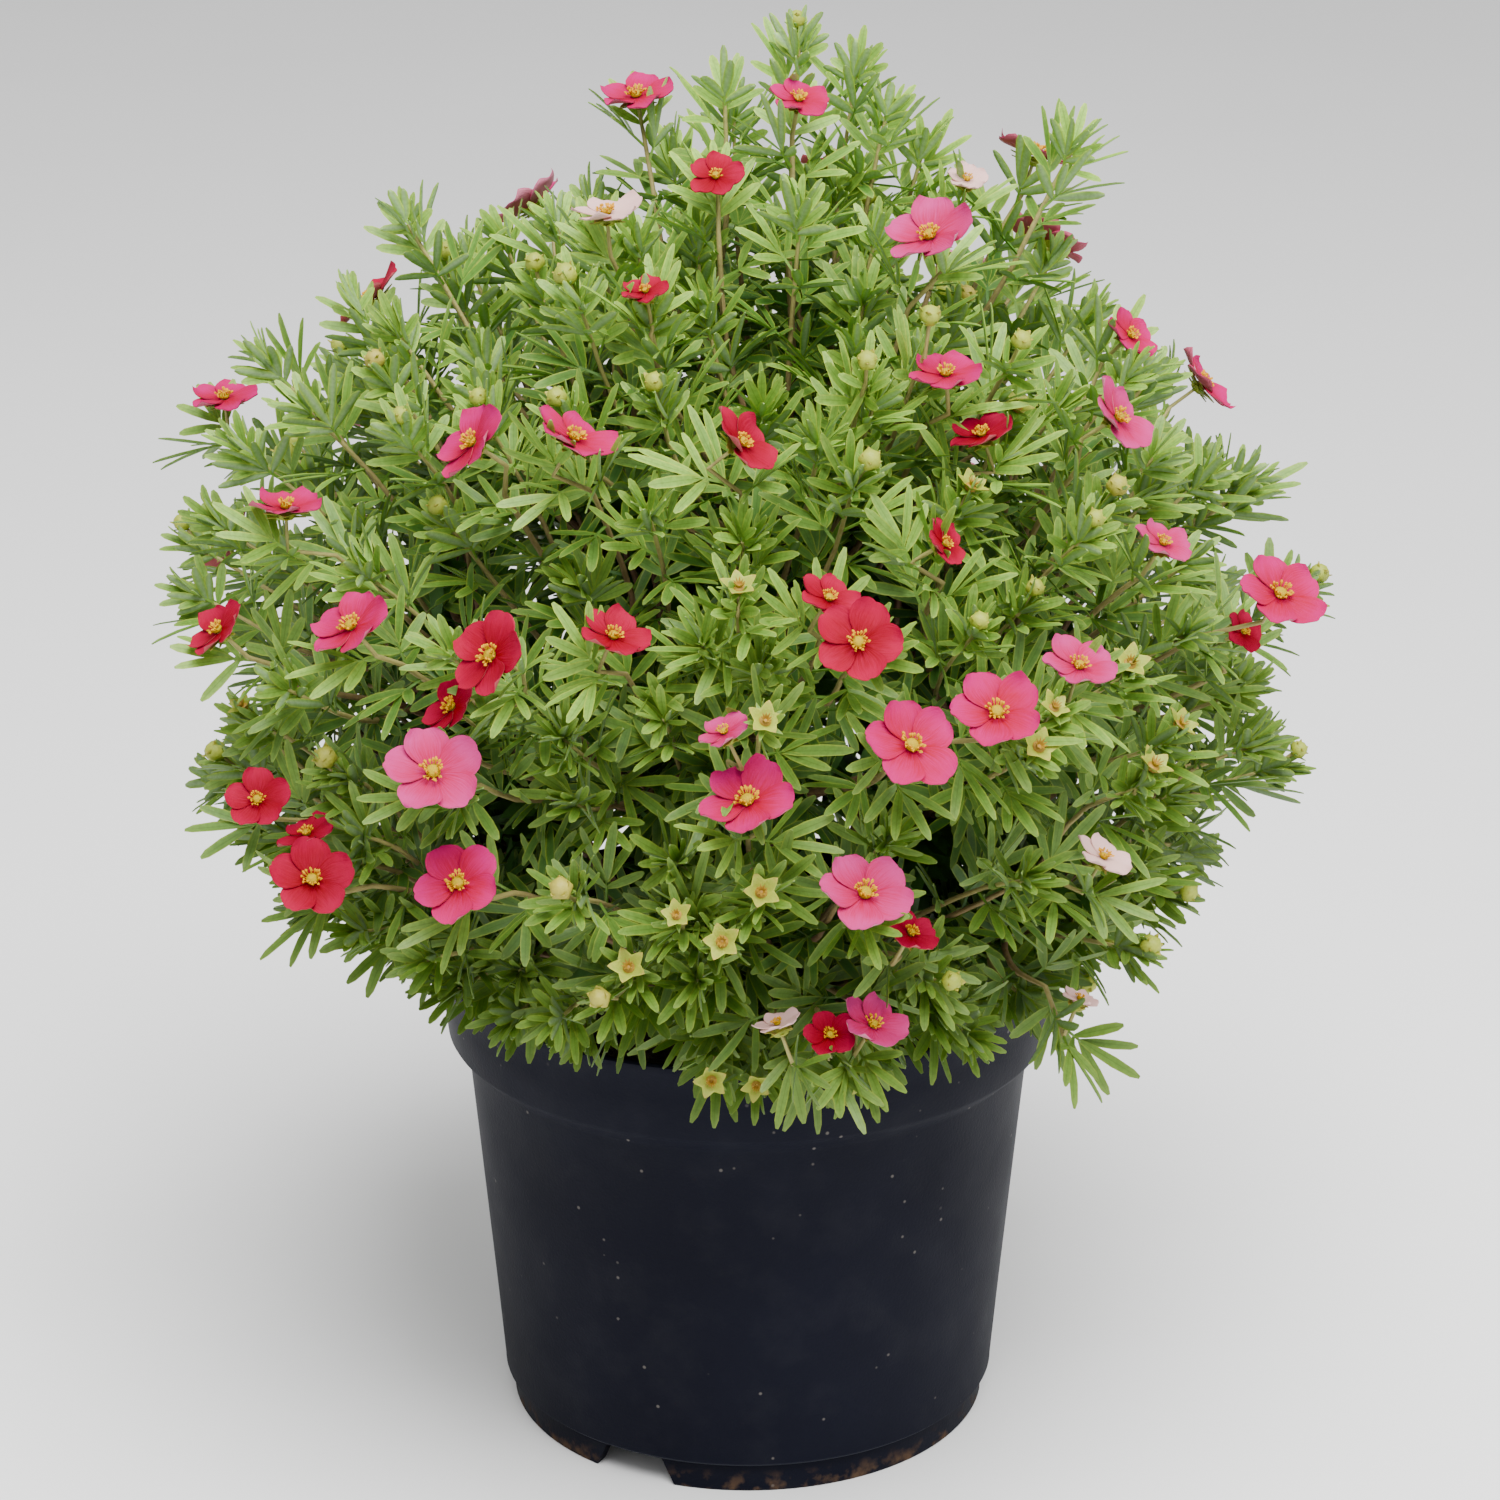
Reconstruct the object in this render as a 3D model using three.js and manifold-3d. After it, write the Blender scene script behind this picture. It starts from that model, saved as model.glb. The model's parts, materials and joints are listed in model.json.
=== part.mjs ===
// A shrubby cinquefoil in a nursery pot, in millimetres, +Z up, with the front of the plant towards -Y.
// The origin lies on the floor under the middle of the pot.
// Directions in the crown are an azimuth, turned from the front towards +X, and a polar angle down from +Z,
// both in degrees and both seen from the middle of the crown.
import * as THREE from "three";
import { mergeVertices } from "three/addons/utils/BufferGeometryUtils.js";
import Module from "manifold-3d";

const wasm = await Module();
wasm.setup();

// Pot
const rimRadius = 95;
const potHeight = 148.2;
const collarHeight = 24;
const collarFootRadius = 92.5;
const collarStepHeight = 5;
const bodyTopRadius = 86.5;
const bodyFootRadius = 76.7;
const wall = 2.2;
const footHeight = 10;
const footInset = 2.5;
const footWidth = 5;
const notchAzimuths = [-28, 92, 212];
const notchTopWidth = 18;
const notchBottomWidth = 28;
const drainRadius = 5;
const drainDistance = 60;
const potSides = 34;

// Soil
const gap = 0.3;
const soilTop = 134;
const soilUnevenness = 2.4;
const soilSides = 20;
const holeDepth = 14;
const holeClearance = 0.5;

// Crown: the shape that the shoot tips reach, as a distance from its middle
const crownCentre = new THREE.Vector3(0, 0, 258);
const crownTopRadius = 152;
const crownSideGain = 26;
const crownUnderLoss = 20;
const lowestTipPolar = 137;
// Leafy shoots that make the outline seen from the front: azimuth and polar angle
const outlineTips = [
  [85, 5],
  [90, 20],
  [90, 34],
  [95, 60],
  [92, 88],
  [95, 106],
  [-90, 40],
  [-92, 62],
  [-95, 84],
  [-90, 108],
  [176, 84],
  [150, 96],
  [205, 92],
];
// Where shoots stand out of the even crown or fall short of it: azimuth, polar angle, extra reach, width in
// degrees
const unevenReach = [
  [90, 6, 27, 10],
  [90, 34, 27, 8],
  [-90, 25, -12, 10],
  [-90, 41, 13, 7],
  [-90, 66, 13, 10],
  [90, 62, -14, 13],
  [90, 100, -12, 9],
  [-60, 128, -16, 14],
  [-38, 130, -10, 12],
  [60, 128, -16, 14],
];

// Leafy stems stand in three rings of cells: polar range, number of stems, azimuth of the first
const stemRings = [
  { from: 1, to: 50, stems: 3, turn: 25 },
  { from: 50, to: 90, stems: 5, turn: -14 },
  { from: 90, to: lowestTipPolar + 2, stems: 6, turn: 4 },
];
const stemBaseHeight = soilTop + 6;
const baseSpread = 48;
const baseSpreadPolar = 125;
const stemRadius = 3.2;
const stemTipRadius = 1.6;
const stemSides = 5;
const stemShares = [0, 0.12, 0.25, 0.42];
const twigRootRadius = 1.5;
const twigTipRadius = 1.1;
const twigRadii = [twigRootRadius, (twigRootRadius + twigTipRadius) / 2, twigTipRadius];
const archAcross = 0.45;
const archUp = 0.7;
const droop = 45;
const cellMargin = 1.5;

// Inner mass of foliage of each stem, as shares of the way to the shoot tips
const coreInside = 0.3;
const coreOutside = 0.57;
const corePeak = 0.1;
const coreUnevenness = 0.06;
const coreRows = 2;
const coreColumnWidth = 30;
const twigStart = 0.42;

// Leaves
const leafletAngles = [-74, -37, 0, 37, 74];
const leafletLengths = [12.5, 15, 16.5, 15, 12.5];
const leafletHalfWidth = 1.6;
const leafLean = 60;
const sideLeafSpread = 42;
// One in this many blooming shoots has no leaf of its own below the bloom
const bareEvery = 2;
const petioleLength = 7;
const petioleHalfWidth = 0.5;
const petioleThickness = 0.8;
const valleyRadius = 2.1;
const leafThickness = 1.8;
const leafDroop = 1.5;
const tuftLeans = [42, 54, 66];
const tuftLeafletTurn = 21;
const tuftThickness = 3;
// One in this many tufts has a bud that stands out of it
const budEvery = 4;
const budSides = 5;
const budLength = 7;
const budBellyHeight = 4.5;
const budRadius = 2.7;
const budNeckRadius = 1.2;
const leafyTipCount = 46;
const tipSpacing = 22;
const leafClearance = 0.35;
const leafAttempts = 10;
// Shoot tips stop short of the crown's outside, which the leaves at them reach
const leafyReachFrom = 0.87;
const leafyReachTo = 0.93;

// Blooms
const petals = 5;
const petalReach = 12.4;
const petalShoulderReach = 11.3;
const petalShoulderTurn = 23;
const petalValleyReach = 5.4;
const petalCup = 2.2;
const petalTwist = 0.7;
// The thick line that stands for a petal where clearances are measured
const petalLineReach = 0.72 * petalReach;
const petalLineRadius = 0.32 * petalReach;
const bloomThickness = 2.2;
const stamenRadius = 3;
const stamenHeight = 1.4;
const calyxRadius = 2.6;
const stalkLength = 9;
// Blooms stand this share of the way inside the outline that the leaves reach
const bloomInset = 0.035;

// Blooms read off the photograph by eye: azimuth, polar angle, how far out they stand as a share of the
// way, the azimuth and tilt from +Z of the face, size, and colour
const frontBlooms = [
  [-133, 17, 1.04, -33, 16, 0.9, "pink"],
  [31, 10, 0.99, 23, 22, 0.75, "pink"],
  [-14, 15, 0.96, -5, 37, 0.65, "red"],
  [-38, 26, 0.98, -60, 5, 0.85, "light_pink"],
  [40, 32, 1, -39, 31, 1.05, "light_pink"],
  [73, 26, 0.98, 15, 27, 0.5, "light_pink"],
  [-21, 34, 0.94, -26, 19, 0.55, "red"],
  [74, 51, 0.99, 55, 45, 0.7, "pink"],
  [30, 48, 0.97, -18, 16, 0.85, "pink"],
  [34, 54, 0.93, -58, 22, 0.75, "red"],
  [52, 58, 0.99, 67, 55, 0.95, "light_pink"],
  [-103, 72, 1.04, -23, 9, 0.85, "pink"],
  [-35, 58, 0.99, -64, 52, 0.95, "pink"],
  [-22, 56, 0.99, 71, 29, 0.95, "pink"],
  [-1, 55, 0.98, 70, 50, 0.9, "red"],
  [-58, 70, 0.99, -173, 2, 0.85, "pink"],
  [22, 66, 0.95, 62, 56, 0.6, "red"],
  [-60, 83, 1, -66, 42, 0.8, "red"],
  [-40, 78, 1, -53, 37, 1, "pink"],
  [-24, 78, 1, -49, 56, 1, "red"],
  [-31, 82, 0.9, -62, 46, 0.8, "red"],
  [-13, 75, 0.98, 47, 27, 0.8, "red"],
  [8, 71, 0.97, 46, 33, 0.7, "red"],
  [10, 76, 1.02, -2, 50, 0.95, "red"],
  [59, 80, 1.03, 30, 36, 1.05, "pink"],
  [63, 82, 0.92, 50, 56, 0.55, "red"],
  [32, 80, 0.99, 25, 24, 0.85, "light_pink"],
  [49, 71, 0.97, 52, 31, 0.7, "light_pink"],
  [22, 83, 1.02, 4, 36, 1, "pink"],
  [14, 85, 1.02, 19, 43, 1.05, "pink"],
  [-2, 83, 0.99, -60, 25, 0.6, "light_pink"],
  [0, 89, 0.99, -24, 28, 1.05, "pink"],
  [-28, 89, 1.02, 5, 38, 1.1, "light_pink"],
  [-52, 97, 1, 1, 44, 0.75, "red"],
  [-48, 99, 0.95, -68, 23, 0.7, "red"],
  [-44, 103, 1.02, 7, 43, 0.95, "red"],
  [-26, 99, 1.02, -21, 44, 1, "pink"],
  [10, 98, 1.02, 20, 33, 1.05, "light_pink"],
  [16, 103, 0.92, 51, 30, 0.65, "red"],
  [34, 98, 0.99, 71, 26, 0.7, "light_pink"],
  [8, 114, 1, -1, 34, 0.6, "red"],
  [12, 113, 1, 54, 29, 0.8, "light_pink"],
  [3, 113, 0.97, -105, 20, 0.55, "light_pink"],
  [38, 117, 0.98, 89, 19, 0.45, "light_pink"],
];
// The side that the photograph does not show is given blooms by a rule
const backBloomCount = 20;
const backFrom = 104;
const backTo = 256;
const backPolarFrom = 30;
const backPolarTo = 112;
const backColours = ["pink", "red", "light_pink", "pink"];

const foliageMaterial = new THREE.MeshStandardMaterial({ color: 0x6f9a45, roughness: 0.6, metalness: 0 });
const petalMaterials = {
  pink: new THREE.MeshStandardMaterial({ color: 0xe0457f, roughness: 0.55, metalness: 0 }),
  red: new THREE.MeshStandardMaterial({ color: 0xd41f45, roughness: 0.55, metalness: 0 }),
  light_pink: new THREE.MeshStandardMaterial({ color: 0xe77fa8, roughness: 0.55, metalness: 0 }),
};
const potMaterial = new THREE.MeshStandardMaterial({ color: 0x1c202c, roughness: 0.6, metalness: 0 });
const soilMaterial = new THREE.MeshStandardMaterial({ color: 0x3a2a1e, roughness: 0.95, metalness: 0 });

const radians = THREE.MathUtils.degToRad;
const mix = THREE.MathUtils.lerp;
const smoothStep = THREE.MathUtils.smoothstep;
const goldenTurn = 180 * (3 - Math.sqrt(5));

// A repeatable draw from 0 to 1 for a numbered item and purpose.
function draw(item, purpose) {
  let bits = Math.imul(item + 1, 0x9e3779b1) ^ Math.imul(purpose + 1, 0x85ebca6b);
  bits = Math.imul(bits ^ (bits >>> 15), 0x2c1b3c6d);
  bits = Math.imul(bits ^ (bits >>> 12), 0x297a2d39);
  return ((bits ^ (bits >>> 15)) >>> 0) / 2 ** 32;
}

function direction(azimuth, polar) {
  const across = Math.sin(radians(polar));
  return new THREE.Vector3(
    across * Math.sin(radians(azimuth)),
    -across * Math.cos(radians(azimuth)),
    Math.cos(radians(polar)),
  );
}

// How far the shoot tips reach from the middle of the crown.
function crownRadius(azimuth, polar) {
  const way = direction(azimuth, polar);
  let radius = crownTopRadius + crownSideGain * smoothStep(polar, 45, 92);
  radius -= crownUnderLoss * smoothStep(polar, 112, 138);
  for (const [middleAzimuth, middlePolar, extra, width] of unevenReach) {
    const apart = THREE.MathUtils.radToDeg(way.angleTo(direction(middleAzimuth, middlePolar)));
    radius += extra * Math.exp(-((apart / width) ** 2));
  }
  return radius;
}

// The place a share of the way along the shoot that ends in a given direction. Every shoot starts at the soil
// and arches outwards, and no two of them cross.
function growthPoint(azimuth, polar, share) {
  const tip = direction(azimuth, polar).multiplyScalar(crownRadius(azimuth, polar)).add(crownCentre);
  const outwards = direction(azimuth, 90);
  const tipDistance = tip.x * outwards.x + tip.y * outwards.y;
  const baseDistance = (baseSpread * polar) / baseSpreadPolar;
  const bendDistance = mix(baseDistance, tipDistance, archAcross);
  const bendHeight = mix(stemBaseHeight, tip.z, archUp) + droop * smoothStep(polar, 95, 140);
  const from = (1 - share) ** 2;
  const bend = 2 * share * (1 - share);
  const to = share ** 2;
  return outwards
    .multiplyScalar(from * baseDistance + bend * bendDistance + to * tipDistance)
    .setZ(from * stemBaseHeight + bend * bendHeight + to * tip.z);
}

// Solids

function solidOf(geometry) {
  geometry.deleteAttribute("normal");
  geometry.deleteAttribute("uv");
  const merged = mergeVertices(geometry, 1e-3);
  return new wasm.Manifold(
    new wasm.Mesh({
      numProp: 3,
      vertProperties: merged.attributes.position.array,
      triVerts: new Uint32Array(merged.index.array),
    }),
  );
}

// A closed solid of triangles between numbered points.
function facetedSolid(points, triangles) {
  const geometry = new THREE.BufferGeometry().setFromPoints(points);
  geometry.setIndex(triangles.flat());
  return solidOf(geometry);
}

function joined(solids) {
  return solids.reduce((whole, solid) => whole.add(solid));
}

function meshOf(name, solid, material) {
  const { vertProperties, triVerts } = solid.getMesh();
  const geometry = new THREE.BufferGeometry();
  geometry.setAttribute("position", new THREE.BufferAttribute(vertProperties, 3));
  geometry.setIndex(new THREE.BufferAttribute(triVerts, 1));
  const mesh = new THREE.Mesh(geometry, material);
  mesh.name = name;
  return mesh;
}

// The rings of points round a chain of points, with the first point of each turned towards a side direction.
function ringsAlong(chain, radii, sides, sideways) {
  return chain.map((point, i) => {
    const before = chain[Math.max(i - 1, 0)];
    const along = chain[Math.min(i + 1, chain.length - 1)].clone().sub(before).normalize();
    const x = sideways.clone().addScaledVector(along, -along.dot(sideways)).normalize();
    const y = along.clone().cross(x);
    return Array.from({ length: sides }, (_, side) => {
      const angle = (2 * Math.PI * side) / sides;
      return point
        .clone()
        .addScaledVector(x, radii[i] * Math.cos(angle))
        .addScaledVector(y, radii[i] * Math.sin(angle));
    });
  });
}

// The faces between rings and over the first one.
function rodFaces(ringCount, sides) {
  const faces = [];
  for (let side = 0; side < sides; side += 1) {
    const next = (side + 1) % sides;
    for (let here = 0; here + sides < ringCount * sides; here += sides) {
      const above = here + sides;
      faces.push([here + side, here + next, above + next], [here + side, above + next, above + side]);
    }
  }
  for (let side = 1; side + 1 < sides; side += 1) faces.push([0, side + 1, side]);
  return faces;
}

// A tapering rod with flat ends.
function rod(chain, radii, sides, sideways) {
  const last = (chain.length - 1) * sides;
  const faces = rodFaces(chain.length, sides);
  for (let side = 1; side + 1 < sides; side += 1) faces.push([last, last + side, last + side + 1]);
  return facetedSolid(ringsAlong(chain, radii, sides, sideways).flat(), faces);
}

// The faces between an outline and a ring of fewer points inside it, whose numbers follow the outline's.
function facesToRing(outlineCount, ringCount) {
  const share = outlineCount / ringCount;
  const faces = [];
  for (let i = 0; i < outlineCount; i += 1) {
    faces.push([outlineCount + Math.floor(i / share), i, (i + 1) % outlineCount]);
  }
  for (let i = 0; i < ringCount; i += 1) {
    const next = (i + 1) % ringCount;
    faces.push([outlineCount + i, next * share, outlineCount + next]);
  }
  return faces;
}

// A tapering rod whose end opens into a starlike head. The head's points start with its outline, and its
// upper faces are given by their numbers.
function headedRod(chain, radii, sides, sideways, head) {
  const rodPoints = ringsAlong(chain, radii, sides, sideways).flat();
  const lastRing = rodPoints.length - sides;
  const first = rodPoints.length;
  const faces = rodFaces(chain.length, sides);
  const count = head.outlineCount;
  const under = (i) => lastRing + Math.floor((i * sides) / count);
  for (let i = 0; i < count; i += 1) {
    const next = (i + 1) % count;
    faces.push([under(i), first + next, first + i]);
    if (under(next) !== under(i)) faces.push([under(i), under(next), first + next]);
  }
  head.upperFaces.forEach((face) => faces.push(face.map((corner) => corner + first)));
  return facetedSolid([...rodPoints, ...head.points], faces);
}

// A frame that stands on a point, with its x axis along one direction and its z axis near another.
function standing(point, xAxis, zAxis) {
  const x = xAxis.clone().normalize();
  const y = new THREE.Vector3().crossVectors(zAxis, x).normalize();
  const z = new THREE.Vector3().crossVectors(x, y);
  return new THREE.Matrix4().makeBasis(x, y, z).setPosition(point);
}

// Pot

function potSolid() {
  const top = potHeight;
  const collarFoot = top - collarHeight;
  const bodyTop = collarFoot - collarStepHeight;
  const floor = footHeight + wall;
  const profile = [
    [0, footHeight],
    [bodyFootRadius - footInset - footWidth, footHeight],
    [bodyFootRadius - footInset - footWidth, 0],
    [bodyFootRadius - footInset, 0],
    [bodyFootRadius - footInset, footHeight],
    [bodyFootRadius, footHeight],
    [bodyTopRadius, bodyTop],
    [collarFootRadius, collarFoot],
    [rimRadius, top],
    [rimRadius - wall, top],
    [collarFootRadius - wall, collarFoot],
    [bodyTopRadius - wall, bodyTop],
    [bodyFootRadius - wall, floor],
    [0, floor],
  ];
  const body = new THREE.LatheGeometry(profile.map(([r, z]) => new THREE.Vector2(r, z)), potSides);
  const cuts = notchAzimuths.flatMap((azimuth) => [notchSolid(azimuth), drainSolid(azimuth)]);
  return cuts.reduce((whole, cut) => whole.subtract(cut), solidOf(body.rotateX(Math.PI / 2)));
}

// A cutter with sloping sides that opens the foot ring.
function notchSolid(azimuth) {
  const section = new THREE.Shape([
    new THREE.Vector2(-notchBottomWidth / 2, -1),
    new THREE.Vector2(notchBottomWidth / 2, -1),
    new THREE.Vector2(notchTopWidth / 2, footHeight),
    new THREE.Vector2(-notchTopWidth / 2, footHeight),
  ]);
  const cutter = new THREE.ExtrudeGeometry(section, { depth: 2 * footWidth + 4, bevelEnabled: false });
  const outwards = direction(azimuth, 90);
  const up = new THREE.Vector3(0, 0, 1);
  const start = outwards.clone().multiplyScalar(bodyFootRadius - footInset - footWidth - 4);
  const along = up.clone().cross(outwards);
  const frame = new THREE.Matrix4().makeBasis(along, up, outwards).setPosition(start);
  return solidOf(cutter.applyMatrix4(frame));
}

function drainSolid(azimuth) {
  const hole = new THREE.CylinderGeometry(drainRadius, drainRadius, 4 * wall, 8);
  const place = direction(azimuth, 90).multiplyScalar(drainDistance).setZ(footHeight);
  return solidOf(hole.rotateX(Math.PI / 2).translate(place.x, place.y, place.z));
}

// Leafy stems: each owns a cell of directions, and everything that it carries stays inside that cell

const stems = stemRings.flatMap((ring) =>
  Array.from({ length: ring.stems }, (_, i) => ({
    from: ring.from,
    to: ring.to,
    width: 360 / ring.stems,
    azimuth: ring.turn + (360 * i) / ring.stems,
    polar: (ring.from + ring.to) / 2,
  })),
);

// The azimuth counted from a stem's own, between -180 and 180.
function turnFrom(stem, azimuth) {
  return ((((azimuth - stem.azimuth) % 360) + 540) % 360) - 180;
}

function stemFor(azimuth, polar) {
  return stems.findIndex(
    (stem) =>
      polar < stem.to &&
      polar >= stem.from - 1 &&
      Math.abs(turnFrom(stem, azimuth)) <= stem.width / 2,
  );
}

// A point on the shoot that leaves its stem low down and ends at a tip of its own.
function shootPoint(tip, share) {
  const stem = stems[tip.stem];
  const own = smoothStep(share, 0.05, 0.75);
  const half = stem.width / 2 - cellMargin;
  const turn = THREE.MathUtils.clamp(turnFrom(stem, tip.azimuth), -half, half);
  return growthPoint(
    stem.azimuth + turn * own,
    mix(stem.polar, THREE.MathUtils.clamp(tip.polar, stem.from + cellMargin, stem.to - cellMargin), own),
    share,
  );
}

// Shoot tips

const backBlooms = Array.from({ length: backBloomCount }, (_, i) => {
  const share = (i + 0.5) / backBloomCount;
  const polar = THREE.MathUtils.radToDeg(
    Math.acos(mix(Math.cos(radians(backPolarFrom)), Math.cos(radians(backPolarTo)), share)),
  );
  const azimuth = mix(backFrom, backTo, ((i * goldenTurn) % 360) / 360);
  const faceTilt = mix(25, 75, smoothStep(polar, 30, 95)) + 20 * (draw(i, 1) - 0.5);
  const faceAzimuth = azimuth + 60 * (draw(i, 2) - 0.5);
  const size = 0.95 + 0.2 * draw(i, 3);
  return [azimuth, polar, 1, faceAzimuth, faceTilt, size, backColours[i % backColours.length]];
});

const bloomTips = [...frontBlooms, ...backBlooms].map(
  ([azimuth, polar, reach, faceAzimuth, faceTilt, size, colour]) => ({
    azimuth,
    polar,
    reach,
    size,
    colour,
    face: direction(faceAzimuth, faceTilt),
    stem: stemFor(azimuth, polar),
    place: growthPoint(azimuth, polar, reach - bloomInset),
  }),
);

const evenTips = Array.from({ length: leafyTipCount }, (_, i) => {
  const cosine = mix(1, Math.cos(radians(lowestTipPolar)), (i + 0.5) / leafyTipCount);
  return [i * goldenTurn, THREE.MathUtils.radToDeg(Math.acos(cosine))];
});

const leafyTips = [];
[...outlineTips, ...evenTips].forEach(([azimuth, polar], i) => {
  const place = growthPoint(azimuth, polar, 1);
  if ([...bloomTips, ...leafyTips].every((other) => other.place.distanceTo(place) > tipSpacing)) {
    const reach = mix(leafyReachFrom, leafyReachTo, i < outlineTips.length ? 1 : draw(i, 4));
    leafyTips.push({ azimuth, polar, reach, stem: stemFor(azimuth, polar), place });
  }
});

// Clearance: what stands near the outside of the crown is kept as short thick lines, each with its owner

const taken = [];

function distanceBetween(a, b) {
  const u = a.to.clone().sub(a.from);
  const v = b.to.clone().sub(b.from);
  const w = a.from.clone().sub(b.from);
  const uu = u.dot(u);
  const uv = u.dot(v);
  const vv = v.dot(v);
  const uw = u.dot(w);
  const vw = v.dot(w);
  const spread = uu * vv - uv * uv;
  let s = spread > 1e-9 ? THREE.MathUtils.clamp((uv * vw - vv * uw) / spread, 0, 1) : 0;
  const t = THREE.MathUtils.clamp((uv * s + vw) / vv, 0, 1);
  s = THREE.MathUtils.clamp((uv * t - uw) / uu, 0, 1);
  return w.addScaledVector(u, s).addScaledVector(v, -t).length();
}

function isClearOfPot(line) {
  return [line.from, line.to].every(
    (end) =>
      end.z > potHeight + line.radius + leafClearance ||
      Math.hypot(end.x, end.y) > rimRadius + line.radius + leafClearance,
  );
}

function isClear(lines, owner) {
  const others = taken.filter((other) => other.owner !== owner);
  return lines.every(
    (line) =>
      isClearOfPot(line) &&
      others.every((other) => distanceBetween(line, other) > line.radius + other.radius + leafClearance),
  );
}

function take(lines, owner) {
  lines.forEach((line) => taken.push({ ...line, owner }));
}

// Twigs: the line of a shoot from inside its stem's foliage to its tip

function bloomLine(tip) {
  const seat = tip.place.clone().addScaledVector(tip.face, -bloomThickness / 2 - gap);
  const stalkFoot = seat.clone().addScaledVector(tip.face, -stalkLength);
  return [shootPoint(tip, twigStart), stalkFoot, seat];
}

function leafyLine(tip) {
  return [shootPoint(tip, twigStart), shootPoint(tip, 0.74), shootPoint(tip, tip.reach)];
}

function thickLines(points, radius) {
  return points.slice(1).map((to, i) => ({ from: points[i], to, radius }));
}

// The place and direction on a line at a distance back from its end.
function backAlong(points, distance) {
  let left = distance;
  let i = points.length - 1;
  while (i > 1 && left > points[i].distanceTo(points[i - 1])) {
    left -= points[i].distanceTo(points[i - 1]);
    i -= 1;
  }
  const along = points[i].clone().sub(points[i - 1]).normalize();
  return { place: points[i].clone().addScaledVector(along, -left), along };
}

// Leaves: narrow blunt leaflets cut to the middle of one thin blade, in their own frame with z out of the
// upper face

// The two corners that end a leaflet.
function leafletEnd(leaflet) {
  const along = new THREE.Vector3(Math.cos(radians(leaflet.angle)), Math.sin(radians(leaflet.angle)), 0);
  const side = new THREE.Vector3(-along.y, along.x, 0).multiplyScalar(leafletHalfWidth);
  const end = along.multiplyScalar(leaflet.length).setZ(leaflet.height);
  return [end.clone().sub(side), end.clone().add(side)];
}

function valley(angle) {
  const way = new THREE.Vector3(Math.cos(radians(angle)), Math.sin(radians(angle)), 0);
  return way.multiplyScalar(valleyRadius);
}

// The outline of neighbouring leaflets, with a valley after each and one before the first.
function leafletOutline(leaflets) {
  const [first] = leaflets;
  const step = leaflets[1].angle - first.angle;
  const outline = [valley(first.angle - step / 2)];
  leaflets.forEach((leaflet, i) => {
    const next = leaflets[i + 1]?.angle ?? leaflet.angle + step;
    outline.push(...leafletEnd(leaflet), valley((leaflet.angle + next) / 2));
  });
  return outline;
}

// One leaf: leaflets longest in the middle, with drooping ends.
function leafLeaflets(size) {
  return leafletAngles.map((angle, i) => ({ angle, length: leafletLengths[i] * size, height: -leafDroop }));
}

// The leaves that crowd round a shoot's tip: each leans out a little more than the one before.
function tuftLeaflets(size) {
  return tuftLeans.flatMap((lean, leaf) =>
    leafletLengths.map((length, i) => ({
      angle: (leaf * 360) / tuftLeans.length + (i - 2) * tuftLeafletTurn,
      length: length * size * Math.sin(radians(lean)),
      height: length * size * Math.cos(radians(lean)),
    })),
  );
}

// The faces over and under a chain of outline points.
function bladeFaces(chain, top, bottom) {
  return chain.slice(1).flatMap((next, i) => [
    [top, chain[i], next],
    [bottom, next, chain[i]],
  ]);
}

function leafSolid(frame, size) {
  const root = new THREE.Vector3(-petioleLength, 0, 0);
  const across = new THREE.Vector3(0, petioleHalfWidth, 0);
  const up = new THREE.Vector3(0, 0, petioleThickness);
  const hub = new THREE.Vector3(0, 0, leafThickness / 2);
  const leaflets = leafletOutline(leafLeaflets(size));
  const outline = [root.clone().sub(across), ...leaflets, root.clone().add(across)];
  const points = [...outline, hub, hub.clone().negate(), root.clone().add(up)];
  const last = outline.length - 1;
  const [top, bottom, rootTop] = [1, 2, 3].map((step) => last + step);
  const triangles = [
    ...bladeFaces([...outline.keys()], top, bottom),
    [top, last, rootTop],
    [top, rootTop, 0],
    [bottom, 0, last],
    [rootTop, last, 0],
  ];
  return facetedSolid(points.map((point) => point.applyMatrix4(frame)), triangles);
}

function tuftHead(frame, size, budded) {
  const leaflets = tuftLeaflets(size);
  const outline = leaflets.flatMap((leaflet, i) => {
    const next = leaflets[i + 1]?.angle ?? leaflets[0].angle + 360;
    return [...leafletEnd(leaflet), valley((leaflet.angle + next) / 2)];
  });
  const top = outline.length;
  const plain = {
    points: [new THREE.Vector3(0, 0, tuftThickness / 2)],
    faces: outline.map((_, i) => [top, i, (i + 1) % top]),
  };
  const middle = budded ? budOver(top) : plain;
  return {
    points: [...outline, ...middle.points].map((point) => point.applyMatrix4(frame)),
    outlineCount: outline.length,
    upperFaces: middle.faces,
  };
}

// A round bud in the middle of a tuft: its points, and the faces from the tuft's outline up over it.
function budOver(outlineCount) {
  const ring = (radius, height) =>
    Array.from({ length: budSides }, (_, side) => {
      const angle = radians((side * 360) / budSides - tuftLeafletTurn);
      return new THREE.Vector3(radius * Math.cos(angle), radius * Math.sin(angle), height);
    });
  const neck = outlineCount;
  const belly = neck + budSides;
  const tip = belly + budSides;
  const faces = facesToRing(outlineCount, budSides);
  for (let side = 0; side < budSides; side += 1) {
    const next = (side + 1) % budSides;
    faces.push([neck + side, neck + next, belly + next], [neck + side, belly + next, belly + side]);
    faces.push([belly + side, belly + next, tip]);
  }
  const rings = [...ring(budNeckRadius, tuftThickness / 2), ...ring(budRadius, budBellyHeight)];
  return { points: [...rings, new THREE.Vector3(0, 0, budLength)], faces };
}

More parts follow.
